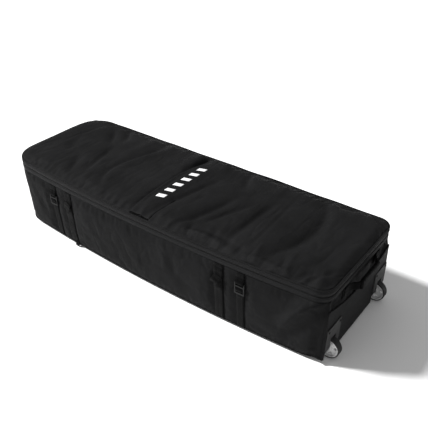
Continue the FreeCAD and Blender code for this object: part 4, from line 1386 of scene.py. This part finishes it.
def build_wheel_lining(side):
    """Lining sewn over one wheel housing: a soft box, open below and to the wheel end."""
    lowest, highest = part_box(side + "_wheel_housing")
    clear, radius = 0.0016, 0.006
    first = Vector((lowest.x - clear, lowest.y - clear, LINING_Z - radius))
    last = Vector((FRONT - WALL + radius, highest.y + clear, MOUTH_TOP + clear))
    mesh = bpy.data.meshes.new(side + "_wheel_lining")
    with editing(mesh) as build:
        bmesh.ops.create_cube(build, size=1.0)
        for vert in build.verts:
            vert.co = (first + last) / 2 + vert.co * (last - first)
        bmesh.ops.bevel(build, geom=build.edges[:], offset=radius, segments=3, profile=0.5,
                        affect="EDGES")
        long_edges = [e for e in build.edges if e.calc_length() > 0.02]
        bmesh.ops.subdivide_edges(build, edges=long_edges, cuts=9, use_grid_fill=True)
        gone = [face for face in build.faces
                if all(v.co.x > last.x - radius * 1.01 for v in face.verts)
                or all(v.co.z < first.z + radius * 1.01 for v in face.verts)]
        bmesh.ops.delete(build, geom=gone, context="FACES")
        for vert in build.verts:
            wave = math.sin(vert.co.y * 140 + vert.co.z * 90 + vert.co.x * 60)
            vert.co += vert.normal * 0.0008 * wave
    return thicken(show(mesh, "lining"), 0.0008)


# --- Wheel end: kick panel, corner seams and handle ---

def build_kick_cover():
    """Tougher cloth low on the wheel end, with a curved bound top edge."""
    stops = [KICK_LOW, *MOUTHS[0], *MOUTHS[1], KICK_HIGH]
    y = np.interp(np.arange(61), [0, 2, 16, 45, 59, 60], stops)
    lower = np.linspace(BASE_Z, MOUTH_TOP, 11)[:, None]
    share = np.linspace(0, 1, 13)[1:, None]
    z = np.vstack([np.tile(lower, (1, len(y))), MOUTH_TOP + share * (kick_top(y) - MOUTH_TOP)])
    outside = np.maximum(MOUTHS[0][0] - y, y - MOUTHS[1][1]) / (MOUTHS[0][0] - KICK_LOW)
    z = z + CORNER_RISE * np.clip(outside, 0, 1) * (1 - ramp(z, BASE_Z, MOUTH_TOP))
    relief = 0.0003 * ripple(y, z, 41, 0.12) - 0.0008 * ramp(z, 0.02, 0.0)
    holes = [((0, first, -1), (1, last, MOUTH_TOP)) for first, last in MOUTHS]
    return holed_sheet("kick_cover", columns(KICK_X - 0.0006 + relief, y, z), holes,
                       "kick_fabric", 0.0022)


def build_kick_binding():
    """Binding along the kick panel's curved top edge."""
    y = np.linspace(KICK_LOW + 0.002, KICK_HIGH - 0.002, 70)
    path = columns(KICK_X - 0.0006, y, kick_top(y) - 0.0015)
    outward = np.tile([1.0, 0.0, 0.0], (len(y), 1))
    profile = [(-0.0026, -0.0045), (0.0007, -0.0045), (0.0013, -0.0032), (0.0014, 0.0),
               (0.0011, 0.0022), (0.0002, 0.0030), (-0.0026, 0.0030)]
    return sweep("kick_binding", path, outward, profile, "binding")


def build_corner_seam(name, tree, y, shift):
    """An upright piped seam with its two stitched flanges."""
    z = np.linspace(BASE_Z + CORNER_RISE - 0.004, HINGE_Z - 0.004, 60)
    drift = 0.0009 * ripple(z, 0, 51 + shift, 0.12)
    path, ways = [], []
    turn = -0.012 * math.copysign(1, y) * ramp(z, HINGE_Z - 0.075, HINGE_Z)
    for level, shove in zip(z, drift + turn):
        hit, normal = tree.ray_cast(Vector((1.0, y + shove, level)), Vector((-1, 0, 0)))[:2]
        path.append(hit)
        flat = Vector((abs(normal.x), normal.y, 0)).normalized()
        ways.append((flat.x, flat.y, 0.0))
    path, ways = np.array(path), np.array(ways)
    relax(path)
    relax(ways)
    across_seam = columns(-ways[:, 1], ways[:, 0], 0.0)
    outline = [(-0.0058, -0.0012), (-0.0050, 0.0004), (-0.0032, 0.0006), (-0.0024, 0.0018),
               (-0.0010, 0.0029), (0.0010, 0.0029), (0.0024, 0.0018), (0.0032, 0.0006),
               (0.0050, 0.0004), (0.0058, -0.0012)]
    points = np.stack([path + ways * out + across_seam * side for side, out in outline])
    return lattice_piece(name, points, "binding", close_rows=True, caps=True)


ANCHOR_REACH = 0.112
HANDLE_Z = (low("end_handle_webbing").z + high("end_handle_webbing").z) / 2
HANDLE_HALF = (high("end_handle_webbing").z - low("end_handle_webbing").z) / 2
HANDLE_REACH = (low("end_handle_grip").x + high("end_handle_grip").x) / 2


def build_handle_webbing(side, sign):
    """One end of the handle's webbing, sewn flat, then rising to the grip."""
    anchor = ANCHOR_REACH
    marks = [(FRONT + 0.0036, anchor + 0.014), (FRONT + 0.0038, anchor),
             (FRONT + 0.0046, anchor - 0.016), (FRONT + 0.0105, anchor - 0.030),
             (HANDLE_REACH - 0.0085, anchor - 0.040), (HANDLE_REACH - 0.0022, 0.060),
             (HANDLE_REACH, 0.046), (HANDLE_REACH, 0.0)]
    out, run = smooth_line(marks, 0.002).T
    sag = 0.0012 * ramp(out, FRONT + 0.004, HANDLE_REACH)
    path = columns(out, PANEL_Y + sign * run, HANDLE_Z - sag)
    piece = tape("handle_webbing_" + side, path, (0, 0, 1), HANDLE_HALF, 0.0024, "webbing")
    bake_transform(piece)
    return piece


def build_grip():
    """Padded sleeve wrapped round the webbing and sewn along its back."""
    lowest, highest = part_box("end_handle_grip")
    deep, tall = (highest.x - lowest.x) / 2, (highest.z - lowest.z) / 2
    length = highest.y - lowest.y
    angle = 2 * math.pi * np.arange(28)[:, None] / 28
    u = np.linspace(0, 1, 49)
    c, s = np.cos(angle), np.sin(angle)
    rounded = (np.abs(c) ** 3 + np.abs(s) ** 3) ** (-1 / 3)
    end = np.minimum(u, 1 - u) * length
    full = 0.80 + 0.20 * np.sqrt(1 - np.clip(1 - end / 0.016, 0, 1) ** 2)
    hem = 0.06 * np.exp(-((end - 0.008) / 0.0022) ** 2)
    wave = 0.0003 * np.sin(u * 46 + 2 * s) * np.abs(s)
    back = 0.0012 * np.exp(-((angle - math.pi) / 0.18) ** 2)
    x = HANDLE_REACH + c * rounded * deep * (full - hem) + back + wave * 0.4
    z = HANDLE_Z + s * rounded * tall * (full - hem * 0.5) + wave
    return lattice_piece("handle_grip", columns(x, lowest.y + u * length, z), "grip",
                         close_rows=True, caps=True)


def build_anchor(side, sign):
    """Reinforcing patch under one end of the handle."""
    first, last = low("end_handle_anchors").z - 0.006, high("end_handle_anchors").z + 0.002
    u, v = np.meshgrid(np.linspace(-1, 1, 17), np.linspace(0, 1, 15))
    edge = np.minimum(1 - np.abs(u), np.minimum(v, 1 - v) * 2)
    puffed = 0.0016 * ramp(edge, 0, 0.18) + 0.0002 * np.sin(v * 21 + u * 9)
    y = PANEL_Y + sign * ANCHOR_REACH + u * 0.0205
    z = first + v * (last - first)
    front = columns(FRONT + 0.0003 + puffed, y, z)
    return solid_sheet("handle_anchor_" + side, front, columns(FRONT - 0.0030, y, z), "webbing")


# --- Compression straps ---

PLY = 0.0015
TAIL_TILT = math.radians(24)


def nominal(side, x):
    return float(near_y(x)) if side < 0 else FAR


def wall_out(tree, side, x, z, half):
    """How far the wall stands out of its nominal face under a strap."""
    found = []
    for offset in (-half, -half / 2, 0, half / 2, half):
        hit = tree.ray_cast(Vector((x + offset, side * 0.6, z)), Vector((0, -side, 0)))[0]
        if hit is not None:
            found.append(side * (hit.y - nominal(side, x)))
    return max(found) if found else -0.004


def strap_path(tree, side, x, half, marks):
    """Points for (out, z) marks; where out is None the strap lies on the wall."""
    spots = []
    for out, z in marks:
        rest = wall_out(tree, side, x, z, half) + PLY * 0.5 + 0.0004
        spots.append((rest if out is None else max(out, rest), z))
    out, z = smooth_line(spots, 0.0018).T
    return columns(x, nominal(side, x) + side * out, z)


def on_wall(first, last, step=0.012):
    count = max(2, int(abs(last - first) / step) + 1)
    return [(None, z) for z in np.linspace(first, last, count)]


LOCK_LOOP = [(0.0022, 0.216), (0.0024, 0.2105), (0.0031, 0.2062), (0.0056, 0.2044),
             (0.0083, 0.2062), (0.0090, 0.2105), (0.0078, 0.2150), (0.0050, 0.2205),
             (0.0036, 0.2250), (0.0034, 0.2280)]
LOCK_THREAD = [(0.0012, 0.158), (0.0019, 0.168), (0.0030, 0.1730), (0.0062, 0.1752),
               (0.0087, 0.1785), (0.0089, 0.1830), (0.0072, 0.1868), (0.0040, 0.1888),
               (0.0020, 0.1912), (0.0014, 0.1955)]


def build_straps(tree, word, side):
    """All the compression webbing of one long side, with its owners."""
    top = HINGE_Z - 0.0012 if side < 0 else high("far_strap_uppers").z
    foot = BASE_Z + 0.002
    made = []

    def web(name, x, lie, half, marks, material, node, body="tub"):
        path = strap_path(tree, side, x, lie, marks)
        piece = tape(word + name, path, (1, 0, 0), half, PLY, material)
        made.append((piece, body, word + node))
        return piece

    for place in ("left", "right"):
        x, half, name = LOCK_X[place], STRAP_HALF["outer"], "_" + place + "_"
        web(name + "upper_strap", x, half + 0.0015, half + 0.0015, on_wall(top, 0.226) + LOCK_LOOP,
            "webbing", "_strap_uppers")
        lower = web(name + "lower_strap", x, half, half - 0.0005,
                    on_wall(foot, 0.142) + LOCK_THREAD, "webbing_pale", "_strap_lowers", None)
        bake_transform(lower)
        x, half = INNER_X[place], STRAP_HALF["inner"]
        dark = "webbing_pale" if side < 0 and place == "left" else "webbing"
        web(name + "inner_upper_strap", x, half, half, on_wall(top, 0.150), dark, "_strap_uppers")
        lift = [(wall_out(tree, side, x, z, half) + PLY * 1.5 + 0.0008, z)
                for z in (0.152, 0.168, 0.182, 0.196)]
        web(name + "inner_lower_strap", x, half, half - 0.001, on_wall(foot, 0.136) + lift,
            "webbing_pale", "_strap_lowers")
        made.append((build_tail(tree, word + name, side, x), "tub", word + "_strap_lowers"))
    x = INNER_X["left"] + 0.012
    marks = [(wall_out(tree, side, x, BASE_Z + under, 0.01) + out, BASE_Z + z)
             for under, out, z in ((0.010, 0.0012, 0.012), (0.006, 0.0026, 0.002),
                                   (0.006, 0.0022, -0.010))]
    web("_base_tab", x, 0.011, 0.011, marks, "webbing", "_strap_lowers")
    return made


def build_tail(tree, name, side, x):
    """The end of an inner strap, folded over askew."""
    tail_way = np.array([math.cos(TAIL_TILT), 0, -math.sin(TAIL_TILT)])
    climb_way = np.array([math.sin(TAIL_TILT), 0, math.cos(TAIL_TILT)])
    start = np.array([x - 0.012, 0, 0.172])
    length = 0.040
    spots = []
    for run in np.linspace(0, length, 9):
        spot = start + climb_way * run
        out = wall_out(tree, side, spot[0], spot[2], 0.018) + PLY * 2.5 + 0.0016
        out += 0.0030 * math.sin(run / length * math.pi * 0.8)
        spots.append((spot[0], nominal(side, spot[0]) + side * out, spot[2]))
    return tape(name + "folded_tail", smooth_line(spots, 0.002), tail_way, 0.0165, PLY,
                "webbing_pale")


# --- Stitching ---

STITCH_PITCH = 0.0042
STITCH_DASH = 0.0030
STITCH_HALF = 0.00032
STITCH_TALL = 0.00034


def stitches(name, rows):
    """Thread dashes along seams; each row is (path, normal) of numpy points."""
    points, faces = [], []
    margin, tall = STITCH_PITCH / 2, STITCH_TALL
    for path, normal in rows:
        along = along_line(path)
        for mark in np.arange(margin, along[-1] - margin, STITCH_PITCH):
            ends = [np.array([np.interp(mark + reach, along, part) for part in path.T])
                    for reach in (-STITCH_DASH / 2, STITCH_DASH / 2)]
            up = np.array([np.interp(mark, along, part) for part in normal.T])
            up /= np.linalg.norm(up)
            side = np.cross(up, ends[1] - ends[0])
            side *= STITCH_HALF / np.linalg.norm(side)
            start = len(points)
            for end, crest in ((ends[0], -0.6), ((ends[0] + ends[1]) / 2, 1.0), (ends[1], -0.6)):
                points += [end - side - up * tall, end - side * 0.8 + up * tall * crest,
                           end + side * 0.8 + up * tall * crest, end + side - up * tall]
            for seg in (start, start + 4):
                faces += [[seg + k, seg + (k + 1) % 4, seg + 4 + (k + 1) % 4, seg + 4 + k]
                          for k in range(4)]
            faces.append([start + k for k in (3, 2, 1, 0)])
            faces.append([start + 8 + k for k in range(4)])
    return turn_outward(make_piece(name, points, faces, None, "thread", smooth=False))


def facing(path, *way):
    """A row of stitches whose normal is the same all along."""
    return path, np.tile(np.array(way, float), (len(path), 1))


def band_row(height, proud):
    places, outward = zip_run(LID_R, 0)
    normal = flat_out(outward)
    return flat_path(places, height) + normal * proud, normal


def strap_row(wall, side, x, half, z):
    """Stitches across the sewn top of a strap."""
    out = wall_out(wall, side, x, z, half + 0.002) + PLY + 0.0006
    xs = np.linspace(x - half, x + half, 9)
    return facing(columns(xs, nominal(side, x) + side * out, z), 0, side, 0)


# --- Put it together ---

def attach(piece, body, slot, *nodes):
    if body:
        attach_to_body(piece, body)
    if nodes:
        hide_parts(*nodes)
    return piece


def build_tub():
    cover = build_tub_cover()
    attach(cover, "tub", "shell_fabric", "near_side_skin", "far_side_skin", "head_end_skin",
           "wheel_end_skin", "near_side_foam", "far_side_foam", "head_end_foam", "wheel_end_foam")
    attach(build_band("tub_band", TUB_BAND, HINGE_Z - 0.0004, 61), "tub", "zip_tape",
           "tub_zip_tape")
    attach(build_teeth("tub_teeth", low("tub_zip_coil").z, high("tub_zip_coil").z + 0.0006, 0.0),
           "tub", "zip_coil", "tub_zip_coil")
    attach(build_bottom_piping(), "tub", "binding", "bottom_piping")
    attach(build_hinge_tape(), "tub", "binding", "hinge_binding")
    attach(build_wall_lining(), "tub", "lining", "tub_lining")
    floor = plan_sheet("tub_floor_lining", WALL, floor_z, 0.0, "lining", 0.0010)
    attach(floor, "tub", "lining", "base_lining")
    for side in ("near", "far"):
        attach(build_wheel_lining(side), "tub", "lining", "tub_lining")
    base = plan_sheet("base_cover", 0.0008, belly_z, BASE_TAPER, "kick_fabric", 0.0008)
    attach(base, "tub", "kick_fabric", "bottom_skin")
    attach(build_kick_cover(), "tub", "kick_fabric", "kick_panel")
    attach(build_kick_binding(), "tub", "binding", "kick_panel")
    tree = surface_of(cover)
    for word, y, shift in (("near", low("corner_piping").y + 0.002, 0),
                           ("far", high("corner_piping").y - 0.002, 1)):
        attach(build_corner_seam(word + "_corner_seam", tree, y, shift), "tub", "binding",
               "corner_piping")
    for word, side in (("near", -1), ("far", 1)):
        for piece, body, node in build_straps(tree, word, side):
            attach(piece, body, "webbing", node)
    return tree


def build_lid():
    cover = build_lid_cover()
    attach(cover, "lid", "shell_fabric", "lid_skin", "lid_foam")
    tree = surface_of(cover)
    flap, first = build_flap(tree)
    attach(flap, "lid", "shell_fabric", "lid_sleeve")
    both = surface_of(cover, flap)
    # The dark strip at the flap's mouth is painted shade for the hollow under the flap.
    attach(build_flap_mouth(tree, first), "lid", "webbing", "lid_sleeve")
    attach(build_bars(both), "lid", "print", "lid_print")
    attach(build_lid_lining(), "lid", "lining", "lid_lining")
    attach(build_lid_piping(), "lid", "binding", "lid_piping")
    attach(build_band("lid_band", LID_BAND, low("lid_zip_tape").z, 71), "lid", "zip_tape",
           "lid_zip_tape")
    attach(build_teeth("lid_teeth", low("lid_zip_coil").z - 0.0006, high("lid_zip_coil").z, 0.5),
           "lid", "zip_coil", "lid_zip_coil")
    attach(build_gusset(), None, "shell_fabric", "lid_far_gusset")
    return both


def build_handle():
    for word, sign in (("near", -1), ("far", 1)):
        attach(build_anchor(word, sign), "tub", "webbing", "end_handle_anchors")
        attach(build_handle_webbing(word, sign), None, "webbing", "end_handle_webbing")
    grip = build_grip()
    attach(grip, "end_handle", "grip", "end_handle_grip")


def sew(wall, top):
    lid_z = low("lid_zip_tape").z
    tub_rows = [band_row(HINGE_Z + 0.0052, 0.0017), band_row(HINGE_Z + 0.0158, 0.0016)]
    for side, heights in ((-1, (0.233, 0.240)), (1, (0.233,))):
        for place in ("left", "right"):
            for x, half in ((LOCK_X[place], 0.012), (INNER_X[place], 0.0155)):
                tub_rows += [strap_row(wall, side, x, half, z) for z in heights]
    y = np.linspace(KICK_LOW + 0.006, KICK_HIGH - 0.006, 80)
    for drop, proud in ((0.0042, 0.0007), (0.0088, -0.0003)):
        tub_rows.append(facing(columns(KICK_X + proud, y, kick_top(y) - drop), 1, 0, 0))
    attach(stitches("stitching_tub", tub_rows), "tub", "zip_tape")
    y = np.linspace(low("lid_sleeve").y + 0.02, high("lid_sleeve").y - 0.01, 120)
    share = (y - y[0]) / (y[-1] - y[0])
    x = FLAP_LEFT + 0.010 - FLAP_BOW * np.sin(share * math.pi)
    z = np.array([drop_on(top, *spot) for spot in zip(x, y)])
    lid_rows = [band_row(lid_z + 0.0042, 0.0019), band_row(lid_z + 0.0133, 0.0017),
                facing(columns(x, y, z), 0, 0, 1)]
    attach(stitches("stitching_lid", lid_rows), "lid", "zip_tape")


def dress_frame():
    """Better materials for the hard parts that come from the frame."""
    words = {
        "wheel_housing": "housing_plastic", "housing_screws": "screw_steel", "wheel_axle": "steel",
        "wheel_bearings": "steel", "tyre": "wheel_rubber", "hub": "hub_plastic",
        "zip_slider": "zip_metal", "zip_puller": "zip_metal", "ladder_lock": "buckle_plastic",
        "base_board": "board",
    }
    for node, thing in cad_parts.items():
        for word, material in words.items():
            if node.endswith(word):
                for place in thing.material_slots:
                    place.material = MATERIALS[material]


wall_tree = build_tub()
lid_tree = build_lid()
build_handle()
sew(wall_tree, lid_tree)
dress_frame()
